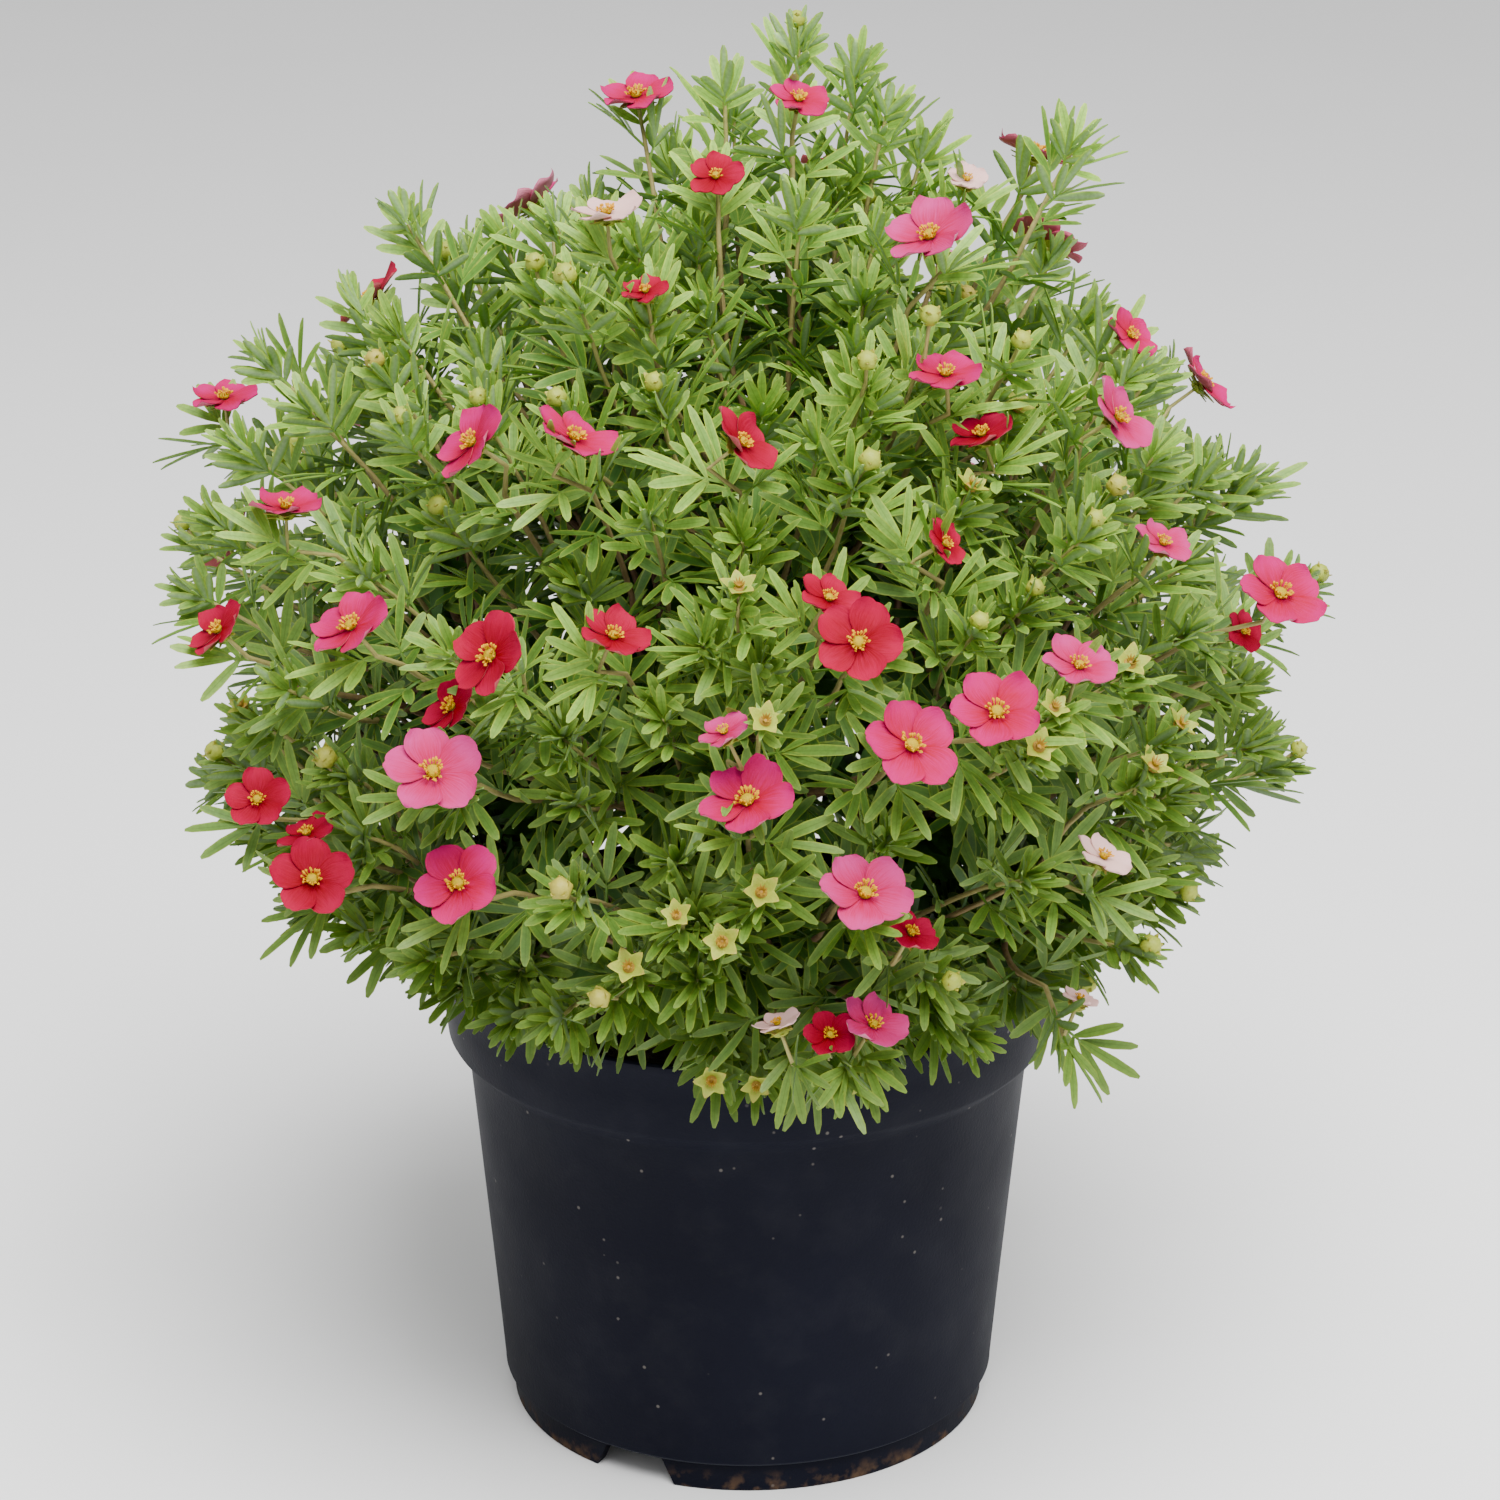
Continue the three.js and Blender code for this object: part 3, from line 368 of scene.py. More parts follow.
def leafy_tips(blooms):
    """Tips of leafy shoots: those seen with small heads, the frame's own, then more between them."""
    random = np.random.default_rng(3)
    taken = [bloom.place for bloom in blooms]
    seen = (("calyx", SEEN_CALYXES), ("bud", SEEN_BUDS), ("", SEEN_SHOOTS))
    tips = [shoot(*way, SEEN_REACH, head) for head, ways in seen for way in ways]
    even = 0
    for i, way in enumerate([*OUTLINE_TIPS, *spread_tips(EVEN_TIPS, 0.5)]):
        if takes_place(*way, taken, EVEN_SPACING):
            reach = LEAF_REACH[1] if i < len(OUTLINE_TIPS) else mix(*LEAF_REACH, draw(i, 4))
            tips.append(shoot(*way, reach, "" if even % BUD_EVERY else "bud", seen=False))
            even += 1
    for azimuth, polar in spread_tips(MORE_TIPS, 0.35):
        azimuth += random.normal(0, 3)
        polar = float(np.clip(polar + random.normal(0, 3), 1, LOWEST_TIP_POLAR))
        if takes_place(azimuth, polar, taken, MORE_SPACING):
            chance = random.random()
            head = "bud" if chance < MORE_BUDS else "calyx" if chance < MORE_BUDS + MORE_CALYXES else ""
            tips.append(shoot(azimuth, polar, mix(*INNER_REACH, random.random()), head, seen=False))
    return tips


# Meshes

# Edges bent more than this many degrees stay crisp, such as the margins of leaflets and petals
CRISP_ANGLE = 80


def linked(name, data):
    """A new object in the scene, around a mesh, a light or a camera."""
    made = bpy.data.objects.new(name, data)
    bpy.context.scene.collection.objects.link(made)
    return made


class Batch:
    """The points and triangles of one piece, gathered in plain arrays."""

    def __init__(self):
        self.points, self.triangles, self.kinds, self.looks = [], [], [], []
        self.count = 0

    def add(self, points, triangles, kind, looks):
        """Adds closed forms that share one pattern of triangles, from (forms, points, n) arrays."""
        forms, each = points.shape[:2]
        starts = self.count + each * np.arange(forms)
        self.points.append(points.reshape(-1, 3))
        self.looks.append(np.broadcast_to(looks, (forms, each, 4)).reshape(-1, 4))
        self.triangles.append((triangles[None] + starts[:, None, None]).reshape(-1, 3))
        self.kinds.append(np.full(forms * len(triangles), kind))
        self.count += forms * each

    def piece(self, name, materials):
        points = np.concatenate(self.points) * MM
        triangles = np.concatenate(self.triangles)
        mesh = bpy.data.meshes.new(name)
        mesh.from_pydata(points.tolist(), [], triangles.tolist())
        mesh.polygons.foreach_set("material_index", np.concatenate(self.kinds))
        mesh.shade_smooth()
        mesh.set_sharp_from_angle(angle=math.radians(CRISP_ANGLE))
        look = mesh.attributes.new("look", "FLOAT_COLOR", "POINT")
        look.data.foreach_set("color", np.concatenate(self.looks).ravel())
        for material in materials:
            mesh.materials.append(material)
        return linked(name, mesh)


def band(start, sides):
    """Faces between two rings of points that follow each other."""
    faces = []
    for side in range(sides):
        here, following = start + side, start + (side + 1) % sides
        faces.append((here, following, following + sides, here + sides))
    return faces


def ring_triangles(rings, sides):
    """Triangles of a closed skin over rings of points, with a flat end at each side."""
    last = (rings - 1) * sides
    triangles = []
    for start in range(0, last, sides):
        for a, b, c, d in band(start, sides):
            triangles += [(a, b, c), (a, c, d)]
    for side in range(1, sides - 1):
        triangles += [(0, side + 1, side), (last, last + side, last + side + 1)]
    return np.array(triangles)


def placed(template, frames, origins):
    """A template's points set into frames: (forms, 3 axes, 3) with an origin each."""
    return np.einsum("npk,nkj->npj", template, frames) + origins[:, None, :]


def frames_from(along, upper):
    """Frames with x along one direction and z near another."""
    x = unit(along)
    y = unit(np.cross(upper, x))
    return np.stack([x, y, np.cross(x, y)], 1)


def frame_on(face, spin=None):
    """A frame with z along a facing."""
    if spin is None:
        spin = np.cross(face, [0.21, 0.13, 0.97])
    return np.array([unit(spin), unit(np.cross(face, spin)), face])


def circles(first, second, sides):
    """Circles of points round the origin, in the planes of pairs of directions."""
    angles = 2 * np.pi * np.arange(sides) / sides
    return first[:, None] * np.cos(angles)[:, None] + second[:, None] * np.sin(angles)[:, None]


def tube(batch, line, radii, sides, youth, chance):
    """A round twig along a line of points, from old wood at youth 0 to young at 1."""
    along = unit(np.gradient(line, axis=0))
    side = unit(np.cross(along, [0.31, 0.17, 0.93]))
    points = line[:, None] + circles(side, np.cross(along, side), sides) * radii[:, None, None]
    looks = stacked(np.broadcast_to(youth, len(line))[:, None], np.zeros(sides), 0, chance)
    batch.add(points.reshape(1, -1, 3), ring_triangles(len(line), sides), TWIG, looks.reshape(1, -1, 4))


# Leaflets

BLADE_STATIONS = np.array([0, 0.24, 0.58, 0.88, 1.0])
BLADE_WIDTHS = np.array([0.28, 0.82, 1.0, 0.8, 0.3])
SEPAL_WIDTHS = np.array([0.75, 1.0, 0.8, 0.36, 0.05])
# Round a blade: one margin, the middle above, the other margin and the middle below
BLADE_SIDES = np.array([-1.0, 0.0, 1.0, 0.0])
BLADE_THICKNESS = np.array([0, 0.16, 0, -0.36])
BLADE_UNDERSIDES = np.array([0.5, 0.0, 0.5, 1.0])
BLADE_FOLD = 0.28
BLADE_TRIANGLES = ring_triangles(len(BLADE_STATIONS), len(BLADE_SIDES))


def blades(batch, kind, frames, origins, sizes, curls, tones, widths=BLADE_WIDTHS, thickness=0.5):
    """Narrow blades folded a little along the middle, thickest there, that curl down towards the tip."""
    values = (np.broadcast_to(value, len(frames)) for value in (*sizes, curls, tones))
    lengths, half_widths, curls, tones = (value[:, None, None] for value in values)
    stations = BLADE_STATIONS[:, None]
    aside = np.abs(BLADE_SIDES)
    half = half_widths * widths[:, None]
    height = aside * half * BLADE_FOLD + BLADE_THICKNESS * thickness - curls * lengths * stations**2
    template = stacked(stations * lengths, BLADE_SIDES * half, height).reshape(len(frames), -1, 3)
    looks = stacked(tones, aside, BLADE_UNDERSIDES, stations * 0.999).reshape(len(frames), -1, 4)
    batch.add(placed(template, frames, origins), BLADE_TRIANGLES, kind, looks)


# Leaves


def in_the_way(points, clearings):
    """Which points stand in a clearing: a short cylinder from a place along a direction."""
    blocked = np.zeros(len(points), bool)
    for place, way, length, radius in clearings:
        offset = points - place
        ahead = offset @ way
        aside = np.linalg.norm(offset - np.outer(ahead, way), axis=1)
        blocked |= (ahead > -3) & (ahead < length) & (aside < radius)
    return blocked


def clearings_for(blooms, tips):
    """Room in front of each bloom, and between the camera and the blooms and heads that it sees."""
    clearings = []
    for number, bloom in enumerate(blooms, 1):
        place = bloom.place
        reach = PETAL_REACH * bloom.size
        clearings.append((place, bloom.face, 34, 0.94 * reach))
        if number <= FRONT_BLOOMS and number not in HIDDEN_BLOOMS:
            clearings.append((place, unit(CAMERA_PLACE - place), 60, 0.72 * reach))
    for tip in tips:
        if tip.seen:
            place = shoot_points(tip, np.array([1.0]), 0.2, np.zeros(3))[0]
            clearings.append((place, unit(CAMERA_PLACE - place), 50, 5))
    return clearings


def leaf_places(line, distances):
    """Places and directions on a line at distances back from its end."""
    steps = np.linalg.norm(np.diff(line, axis=0), axis=1)
    travelled = np.concatenate([[0], np.cumsum(steps)])
    wanted = travelled[-1] - distances
    wanted = wanted[wanted > 0.04 * travelled[-1]]
    places, ahead, behind = (
        stacked(*(np.interp(wanted + shift, travelled, axis) for axis in line.T)) for shift in (0, 2, -2)
    )
    return places, unit(ahead - behind)


def add_leaves(batch, line, distances, clearings, random, tone_lift):
    """Leaves in a spiral along a shoot: small and steep at its tip, larger and more level further down."""
    places, along = leaf_places(line, distances)
    count = len(places)
    if not count:
        return
    back = distances[:count]
    grown = smooth_step(back, -4, 17)
    tilt = np.radians(mix(*LEAF_TILTS, smooth_step(back, -2, 34)) + random.normal(0, 7, count))[:, None]
    turn = random.random() * 360 + GOLDEN_TURN * np.arange(count) + random.normal(0, 9, count)
    side = turned(unit(np.cross(along, [0.12, 0.21, 0.97])), along, turn)
    reach = along * np.cos(tilt) + side * np.sin(tilt)
    upper = along * np.sin(tilt) - side * np.cos(tilt)
    outwards = unit(places - CROWN_CENTRE + 60 * UP)
    lift = mix(-0.1, 0.1, smooth_step(places[:, 2], 140, 200))
    reach = unit(reach + outwards * 0.12 + lift[:, None] * UP)
    upper = upper + outwards * 0.5 + 0.45 * UP
    size = mix(*LEAF_SIZES, grown) * random.uniform(0.88, 1.12, count)
    hubs = places + reach * (PETIOLE_LENGTH * size * mix(0.35, 1.1, grown))[:, None]
    keep = ~(in_the_way(hubs, clearings) | in_the_way(hubs + reach * (12 * size)[:, None], clearings))
    tone = np.clip(1 - back / 60 + tone_lift + random.normal(0, 0.09, count), 0, 1)
    if keep.any():
        fans = frames_from(reach[keep], upper[keep])
        add_petioles(batch, places[keep], hubs[keep], fans, tone[keep])
        add_fans(batch, fans, hubs[keep], size[keep], tone[keep], random)


def add_petioles(batch, places, hubs, fans, tones):
    circle = circles(fans[:, 1], fans[:, 2], PETIOLE_SIDES)
    rings = [places[:, None] + circle * 0.5, hubs[:, None] + fans[:, 0, None] * 0.8 + circle * 0.42]
    looks = stacked(tones[:, None], np.full(2 * PETIOLE_SIDES, 0.6), 0, 0)
    batch.add(np.concatenate(rings, 1), ring_triangles(2, PETIOLE_SIDES), LEAF, looks)


def add_fans(batch, fans, hubs, sizes, tones, random):
    """Five leaflets at the end of each petiole, the lowest pair a little before the others."""
    count = len(hubs)
    for angle, length in zip(LEAFLET_ANGLES, LEAFLET_LENGTHS):
        turn = angle * random.uniform(0.82, 1.08, count) + random.normal(0, 4, count)
        way = turned(fans[:, 0], fans[:, 2], turn)
        pitch = random.normal(4, 9, count)
        across = np.cross(fans[:, 2], way)
        way = turned(way, across, -pitch)
        roll = random.normal(0, 14, count) - 0.15 * angle
        frames = frames_from(way, turned(turned(fans[:, 2], across, -pitch), way, roll))
        lengths = length * sizes * random.uniform(0.9, 1.1, count)
        half_widths = LEAFLET_HALF_WIDTH * mix(0.8, 1, sizes) * random.uniform(0.88, 1.12, count)
        origins = hubs - fans[:, 0] * (LOWEST_PAIR_BACK if abs(angle) > 50 else 0)
        curls = random.normal(0.07, 0.05, count)
        tone = np.clip(tones + random.normal(0, 0.05, count), 0, 1)
        blades(batch, LEAF, frames, origins, (lengths, half_widths), curls, tone)


# A plain leaflet as shares of its length, half width and thickness
INNER_LEAFLET = np.array([[0, 0, 0], [0.5, 1, 0], [0.5, 0, 1], [0.5, -1, 0], [0.5, 0, -1], [1, 0, -1]])
INNER_FACES = ((0, 2, 1), (0, 3, 2), (0, 4, 3), (0, 1, 4), (5, 1, 2), (5, 2, 3), (5, 3, 4), (5, 4, 1))


def add_inner_leaflets(batch, line, random):
    """Plain old leaflets on the part of a shoot that stands deep in the crown."""
    places, along = leaf_places(line, INNER_DISTANCES)
    count = len(places)
    if count:
        side = turned(unit(np.cross(along, [0.12, 0.21, 0.97])), along, random.uniform(0, 360, count))
        frames = frames_from(along * 0.5 + side, random.normal(0, 1, (count, 3)))
        lengths = random.uniform(*INNER_LENGTHS, count)
        half_widths = random.uniform(*INNER_HALF_WIDTHS, count)
        sizes = stacked(lengths, half_widths, INNER_THICKNESS)
        points = placed(INNER_LEAFLET[None] * sizes[:, None], frames, places)
        batch.add(points, np.array(INNER_FACES), LEAF, np.array([0, 0.3, 0, 0]))


# Buds and spent calyces

FORM_SIDES = 10


def dome_points(rings, sides, radius, height, groove=0.0):
    """A rounded closed form on the z axis, from 0 up to a height, with every second side pulled in."""
    rise = np.linspace(0.02, np.pi - 0.05, rings)[:, None]
    angles = 2 * np.pi * np.arange(sides) / sides
    across = radius * np.sin(rise) * (1 - groove * (np.arange(sides) % 2))
    level = height * (1 - np.cos(rise)) / 2
    return stacked(across * np.cos(angles), across * np.sin(angles), level).reshape(1, -1, 3)


def add_form(batch, place, face, rings, radius, height, kind, look, groove=0.0):
    """A rounded form standing on a place."""
    template = dome_points(rings, FORM_SIDES, radius, height, groove)
    points = placed(template, frame_on(face)[None], place[None])
    batch.add(points, ring_triangles(rings, FORM_SIDES), kind, np.array(look))


def add_sepals(batch, place, face, reach, lift, kind, random, tone, half_width, count=5):
    """Pointed sepals in a star round a facing, raised from level by a lift in degrees."""
    angles = np.arange(count) * 360 / count + random.random() * 90
    level = turned(frame_on(face)[0], face, angles)
    across = np.cross(level, face)
    frames = frames_from(turned(level, across, lift), turned(face, across, lift))
    lengths = reach * random.uniform(0.92, 1.08, count)
    blades(batch, kind, frames, place[None], (lengths, half_width), -0.04, tone, SEPAL_WIDTHS, 0.6)


def add_bud(batch, place, face, size, random):
    """A round closed bud, lobed by its petals and held by its sepals."""
    look = (0.3, 0.4, 0, random.random())
    add_form(batch, place, face, 7, 3.1 * size, 5.7 * size, CALYX, look, groove=0.17)
    add_sepals(batch, place + face * 0.4, face, 5.4 * size, 56, CALYX, random, 0.8, 1.9 * size)
    add_sepals(batch, place, face, 4.6 * size, 30, LEAF, random, 0.7, 0.9 * size)


def add_calyx(batch, place, face, size, random):
    """A spent calyx: a cupped star of five pointed sepals round a middle of withered stamens."""
    add_sepals(batch, place, face, 5.8 * size, 32, CALYX, random, 0.75, 2.2 * size)
    add_sepals(batch, place - face * 0.6, face, 5.6 * size, 6, LEAF, random, 0.8, 0.95 * size)
    look = (0.4, 0.2, 0, random.random())
    add_form(batch, place - face * 0.3, face, 5, 1.9 * size, 2.1 * size, SPENT, look)
    add_sepals(batch, place + face * 0.9, face, 3.0 * size, 58, SPENT, random, 0.6, 0.4 * size, count=9)


# Blooms

PETAL_COLUMNS = 9
PETAL_ROWS = 8
PETAL_THICKNESS = 0.3
# Half width of a petal, as a share of its reach, at shares of its length
PETAL_STATIONS = (0.1, 0.23, 0.36, 0.49, 0.61, 0.74, 0.87, 1.0)
PETAL_WIDTHS = (0.1, 0.23, 0.35, 0.43, 0.46, 0.44, 0.385, 0.27)


def petal_triangles():
    """Triangles over, under and round a petal's grid."""
    rows, columns = PETAL_ROWS, PETAL_COLUMNS
    sheet = rows * columns
    triangles = []
    for row in range(rows - 1):
        for column in range(columns - 1):
            a = row * columns + column
            b, c, d = a + 1, a + columns + 1, a + columns
            triangles += [(a, d, c), (a, c, b)]
            triangles += [(sheet + a, sheet + c, sheet + d), (sheet + a, sheet + b, sheet + c)]
    rim = [*range(0, sheet, columns), *range(sheet - columns + 1, sheet)]
    rim += [*range(sheet - columns - 1, 0, -columns), *range(columns - 2, 0, -1)]
    for here, following in zip(rim, rim[1:] + rim[:1]):
        triangles += [(here, sheet + here, sheet + following), (here, sheet + following, following)]
    return np.array(triangles)


PETAL_TRIANGLES = petal_triangles()


def petal_sheet(reach, cup, twist, random):
    """Upper and lower points of a petal along +x, narrow at its base, round beyond, softly crinkled."""
    across = np.linspace(-1, 1, PETAL_COLUMNS)[None, :]
    along = np.linspace(0.1, 1, PETAL_ROWS)[:, None]
    half = reach * np.interp(along, PETAL_STATIONS, PETAL_WIDTHS)
    notch = 0.035 * np.exp(-((across / 0.2) ** 2)) * along**6
    length = reach * (along - 0.09 * across**2 * along**3 - notch)
    waves = random.uniform(0, 6.28, 3)
    ripple = np.sin(2.6 * across + waves[0]) + 0.6 * np.sin(5.1 * across + waves[1])
    height = reach * (0.02 + cup * along**1.6 + twist * across * along)
    height = height + reach * 0.09 * across**2 * along + reach * 0.024 * ripple * along**2.4
    height = height + reach * 0.03 * np.sin(5 * along + waves[2]) * along
    upper = stacked(length, half * across, height)
    lower = upper - PETAL_THICKNESS * UP
    looks = stacked(along, across / 2 + 0.5, np.array([0, 1])[:, None, None], 0)
    return np.concatenate([upper, lower]).reshape(-1, 3), looks.reshape(-1, 4)


def add_petals(batch, bloom, faded, random):
    """Five petals whose looks end in a chance of their own, or in 1 where the bloom has faded."""
    base = frame_on(bloom.face, bloom.spin)
    cup = random.uniform(0.12, 0.22)
    for petal in range(PETALS):
        angle = math.radians(petal * 360 / PETALS + random.normal(0, 3))
        reach = PETAL_REACH * bloom.size * random.uniform(0.95, 1.03)
        points, looks = petal_sheet(reach, cup + random.normal(0, 0.04), 0.08, random)
        looks[:, 3] = 1 if faded else 0.8 * random.random()
        cosine, sine = math.cos(angle), math.sin(angle)
        turn = np.array([[cosine, sine, 0], [-sine, cosine, 0], [0, 0, 1]])
        points = placed(points[None], (turn @ base)[None], bloom.place[None])
        batch.add(points, PETAL_TRIANGLES, PETAL, looks)


# Along a stamen: the thin filament, then its plump end
STAMEN_STATIONS = np.array([0.0, 0.66, 0.84, 1.0])
STAMEN_RADII = np.array([0.16, 0.16, 0.52, 0.22])
STAMEN_SECTION = np.array([[1, -0.5, -0.5], [0, 0.87, -0.87]])
STAMEN_TRIANGLES = ring_triangles(4, 3)


def add_stamens(batch, bloom, random):
    """A ring of thin filaments with plump ends round a rough green-yellow dome."""
    place, face, size = bloom.place, bloom.face, bloom.size
    angles = np.arange(STAMENS) * 360 / STAMENS + random.normal(0, 5, STAMENS)
    lean = np.radians(random.uniform(18, 58, STAMENS))[:, None]
    level = turned(unit(bloom.spin), face, angles)
    frames = frames_from(level * np.sin(lean) + face * np.cos(lean), level)
    reach = random.uniform(2.6, 3.7, STAMENS) * size
    lengths = STAMEN_STATIONS[:, None] * reach[:, None, None]
    template = stacked(lengths, *((STAMEN_RADII * size)[:, None] * side for side in STAMEN_SECTION))
    looks = stacked(STAMEN_STATIONS[:, None], np.zeros(3), 0, random.random())
    points = placed(template.reshape(STAMENS, -1, 3), frames, place + level * 0.8 * size + face * 0.6)
    batch.add(points, STAMEN_TRIANGLES, STAMEN, looks.reshape(1, -1, 4))
    add_form(batch, place + face * 0.2, face, 6, 1.9 * size, 2.3 * size, STAMEN, (0.1, 0, 0, 0.4))


def bloom_piece(bloom, materials, seed):
    """One bloom: petals, stamens, and a calyx with five sepals and five narrow bracts under it."""
    random = np.random.default_rng(seed)
    batch = Batch()
    add_petals(batch, bloom, seed + 1 in FADED_BLOOMS, random)
    add_stamens(batch, bloom, random)
    face, size = bloom.face, bloom.size
    under = bloom.place - face * 1.7
    add_sepals(batch, under, face, 7.6 * size, 8, CALYX, random, 0.6, 2.1)
    add_sepals(batch, under - face * 0.5, face, 6.4 * size, 2, CALYX, random, 0.4, 1.1)
    add_form(batch, under - face * 1.5, face, 5, 2.7, 3.2, CALYX, (0.5, 0.2, 0, 0.5))
    names = ("petals_" + bloom.colour, "stamens", "calyx")
    return batch.piece("fine_" + bloom.name, [materials[name] for name in names])


# Leafy stems


def shoot_line(tip, end_points, random):
    """The line of a shoot from its fork on the stem to its tip."""
    fork = random.uniform(*FORK_SHARES)
    last = tip.reach - (BLOOM_ARRIVAL if end_points else 0)
    line = shoot_points(tip, np.linspace(fork, last, TWIG_POINTS), fork, random.random(3))
    return np.concatenate([line, end_points]) if end_points else line


def bloom_line_end(bloom):
    seat = bloom.place - bloom.face * (BLOOM_THICKNESS / 2 + 1.6)
    stalk_foot = seat - bloom.face * STALK_LENGTH
    return [stalk_foot, mix(stalk_foot, seat, 0.5), seat]


def add_twig(batch, line, random):
    radii = np.linspace(1.35, 0.55, len(line)) * random.uniform(0.9, 1.15)
    tube(batch, line, radii, 5, np.linspace(0, 1, len(line)), random.random())


def add_main_stem(batch, stem):
    line = growth_point(stem.azimuth, stem.polar, np.linspace(0, 0.42, 9))
    foot = line[0] - (STEM_BASE_HEIGHT - SOIL_TOP + STEM_DEPTH) * UP
    line = np.concatenate([[foot], line])
    tube(batch, line, mix(3.2, 1.5, np.linspace(0, 1, len(line))), 8, 0, 0.3)


HEADS = {"bud": add_bud, "calyx": add_calyx}


def add_head(batch, add, line, random):
    """A bud or spent calyx on a short stalk past the end of a shoot, turned up a little."""
    face = unit(unit(line[-1] - line[-3]) + 0.4 * UP + random.normal(0, 0.15, 3))
    reach = random.uniform(5, 9)
    stalk = line[-1] + face * np.linspace(-2, reach, 4)[:, None]
    tube(batch, stalk, np.array([0.6, 0.55, 0.55, 0.6]), 5, 1, 0)
    add(batch, stalk[-1], face, random.uniform(0.85, 1.15), random)


def add_shoot(batch, tip, clearings, random, inner_random):
    """A shoot to a bloom or to a leafy tip, unless it would stand in a clearing unseen."""
    blooms = tip.head == "bloom"
    line = shoot_line(tip, bloom_line_end(tip) if blooms else [], random)
    if in_the_way(line[-3:], clearings).any() and not tip.seen:
        return
    add_twig(batch, line, random)
    distances = BLOOM_LEAF_DISTANCES if blooms else LEAF_DISTANCES * random.uniform(0.9, 1.15)
    add_leaves(batch, line, distances, clearings, random, 0.1 if blooms else 0)
    add_inner_leaflets(batch, line, inner_random)
    if tip.head in HEADS:
        add_head(batch, HEADS[tip.head], line, random)


def stem_piece(number, tips, clearings, materials):
    """One leafy stem: its wood, twigs, leaves, buds and spent calyces."""
    random = np.random.default_rng(100 + number)
    inner_random = np.random.default_rng(200 + number)
    batch = Batch()
    add_main_stem(batch, STEMS[number])
    for tip in tips:
        if tip.stem == number:
            add_shoot(batch, tip, clearings, random, inner_random)
    names = ("leaf", "twig", "calyx", "spent")
    return batch.piece(f"fine_stem_{number + 1:02d}", [materials[name] for name in names])


# Pot


def pot_profile():
    """Outside from the middle of the underside up to the rim, then down the inside."""
    foot, body, collar, rim = BODY_FOOT_RADIUS, BODY_TOP_RADIUS, COLLAR_FOOT_RADIUS, RIM_RADIUS
    top = POT_HEIGHT
    ring = foot - FOOT_INSET
    collar_foot = top - COLLAR_HEIGHT
    body_top = collar_foot - COLLAR_STEP
    floor = FOOT_HEIGHT + WALL
    under = [(0, FOOT_HEIGHT), (ring - FOOT_WIDTH, FOOT_HEIGHT), (ring - FOOT_WIDTH, 0), (ring - 0.4, 0)]
    under += [(ring, 0.5), (ring + 0.2, FOOT_HEIGHT - 0.6), (foot - 0.5, FOOT_HEIGHT - 0.2)]
    side = [(foot + 0.3, FOOT_HEIGHT + 0.5), (foot + 0.3, FOOT_HEIGHT + 1.6)]
    side += [(mix(foot, body, share), mix(FOOT_HEIGHT, body_top, share)) for share in (0.25, 0.5, 0.75)]
    side += [(body, body_top - 1), (body + 0.6, body_top + 0.4), (collar - 0.8, collar_foot - 0.8)]
    side += [(collar, collar_foot + 0.6), (mix(collar, rim, 0.5), mix(collar_foot, top, 0.5))]
    edge = [(rim - 0.5, top - 3.2), (rim, top - 2.4), (rim, top - 0.6), (rim - 0.7, top)]
    edge += [(rim - WALL + 0.5, top), (rim - WALL, top - 0.6)]
    inside = [(collar - WALL, collar_foot), (body - WALL, body_top), (foot - WALL, floor), (0, floor)]
    return under + side + edge + inside


def polygon_piece(name, points, faces):
    mesh = bpy.data.meshes.new(name)
    mesh.from_pydata([Vector(p) * MM for p in points], [], faces)
    mesh.update()
    return linked(name, mesh)


def circle(radius, height, sides, middle=(0, 0)):
    angles = 2 * np.pi * np.arange(sides) / sides
    return [(middle[0] + radius * math.cos(a), middle[1] + radius * math.sin(a), height) for a in angles]


def lathe(name, profile, sides):
    """A closed body turned round z from a profile that starts and ends on the axis."""
    points = [point for radius, height in profile[1:-1] for point in circle(radius, height, sides)]
    last = len(points) - sides
    faces = [face for start in range(0, last, sides) for face in band(start, sides)]
    first = len(points)
    points += [(0, 0, profile[0][1]), (0, 0, profile[-1][1])]
    for side in range(sides):
        following = (side + 1) % sides
        faces.append((first, following, side))
        faces.append((first + 1, last + side, last + following))
    return polygon_piece(name, points, faces)


def add_prism(points, faces, low, high):
    """A closed form between two rings of points."""
    start, sides = len(points), len(low)
    points += [*low, *high]
    faces += band(start, sides)
    faces.append(tuple(range(start + sides - 1, start - 1, -1)))
    faces.append(tuple(range(start + sides, start + 2 * sides)))


def notch_cutter():
    """Three wedges that open the foot ring and three round drain holes, in one object."""
    points, faces = [], []
    reaches = (BODY_FOOT_RADIUS - FOOT_INSET - FOOT_WIDTH - 4, BODY_FOOT_RADIUS + 4)
    low = (NOTCH_BOTTOM_WIDTH / 2, -1)
    high = (NOTCH_TOP_WIDTH / 2, FOOT_HEIGHT - 0.1)
    corners = ((-low[0], low[1]), low, high, (-high[0], high[1]))
    for azimuth in NOTCH_AZIMUTHS:
        way = direction(azimuth, 90)
        aside = np.cross(UP, way)
        wedge = [[way * reach + aside * x + UP * z for x, z in corners] for reach in reaches]
        add_prism(points, faces, *wedge)
        heights = (FOOT_HEIGHT - 3, FOOT_HEIGHT + WALL + 3)
        middle = way * DRAIN_DISTANCE
        add_prism(points, faces, *(circle(DRAIN_RADIUS, height, DRAIN_SIDES, middle) for height in heights))
    return polygon_piece("cutter", points, faces)


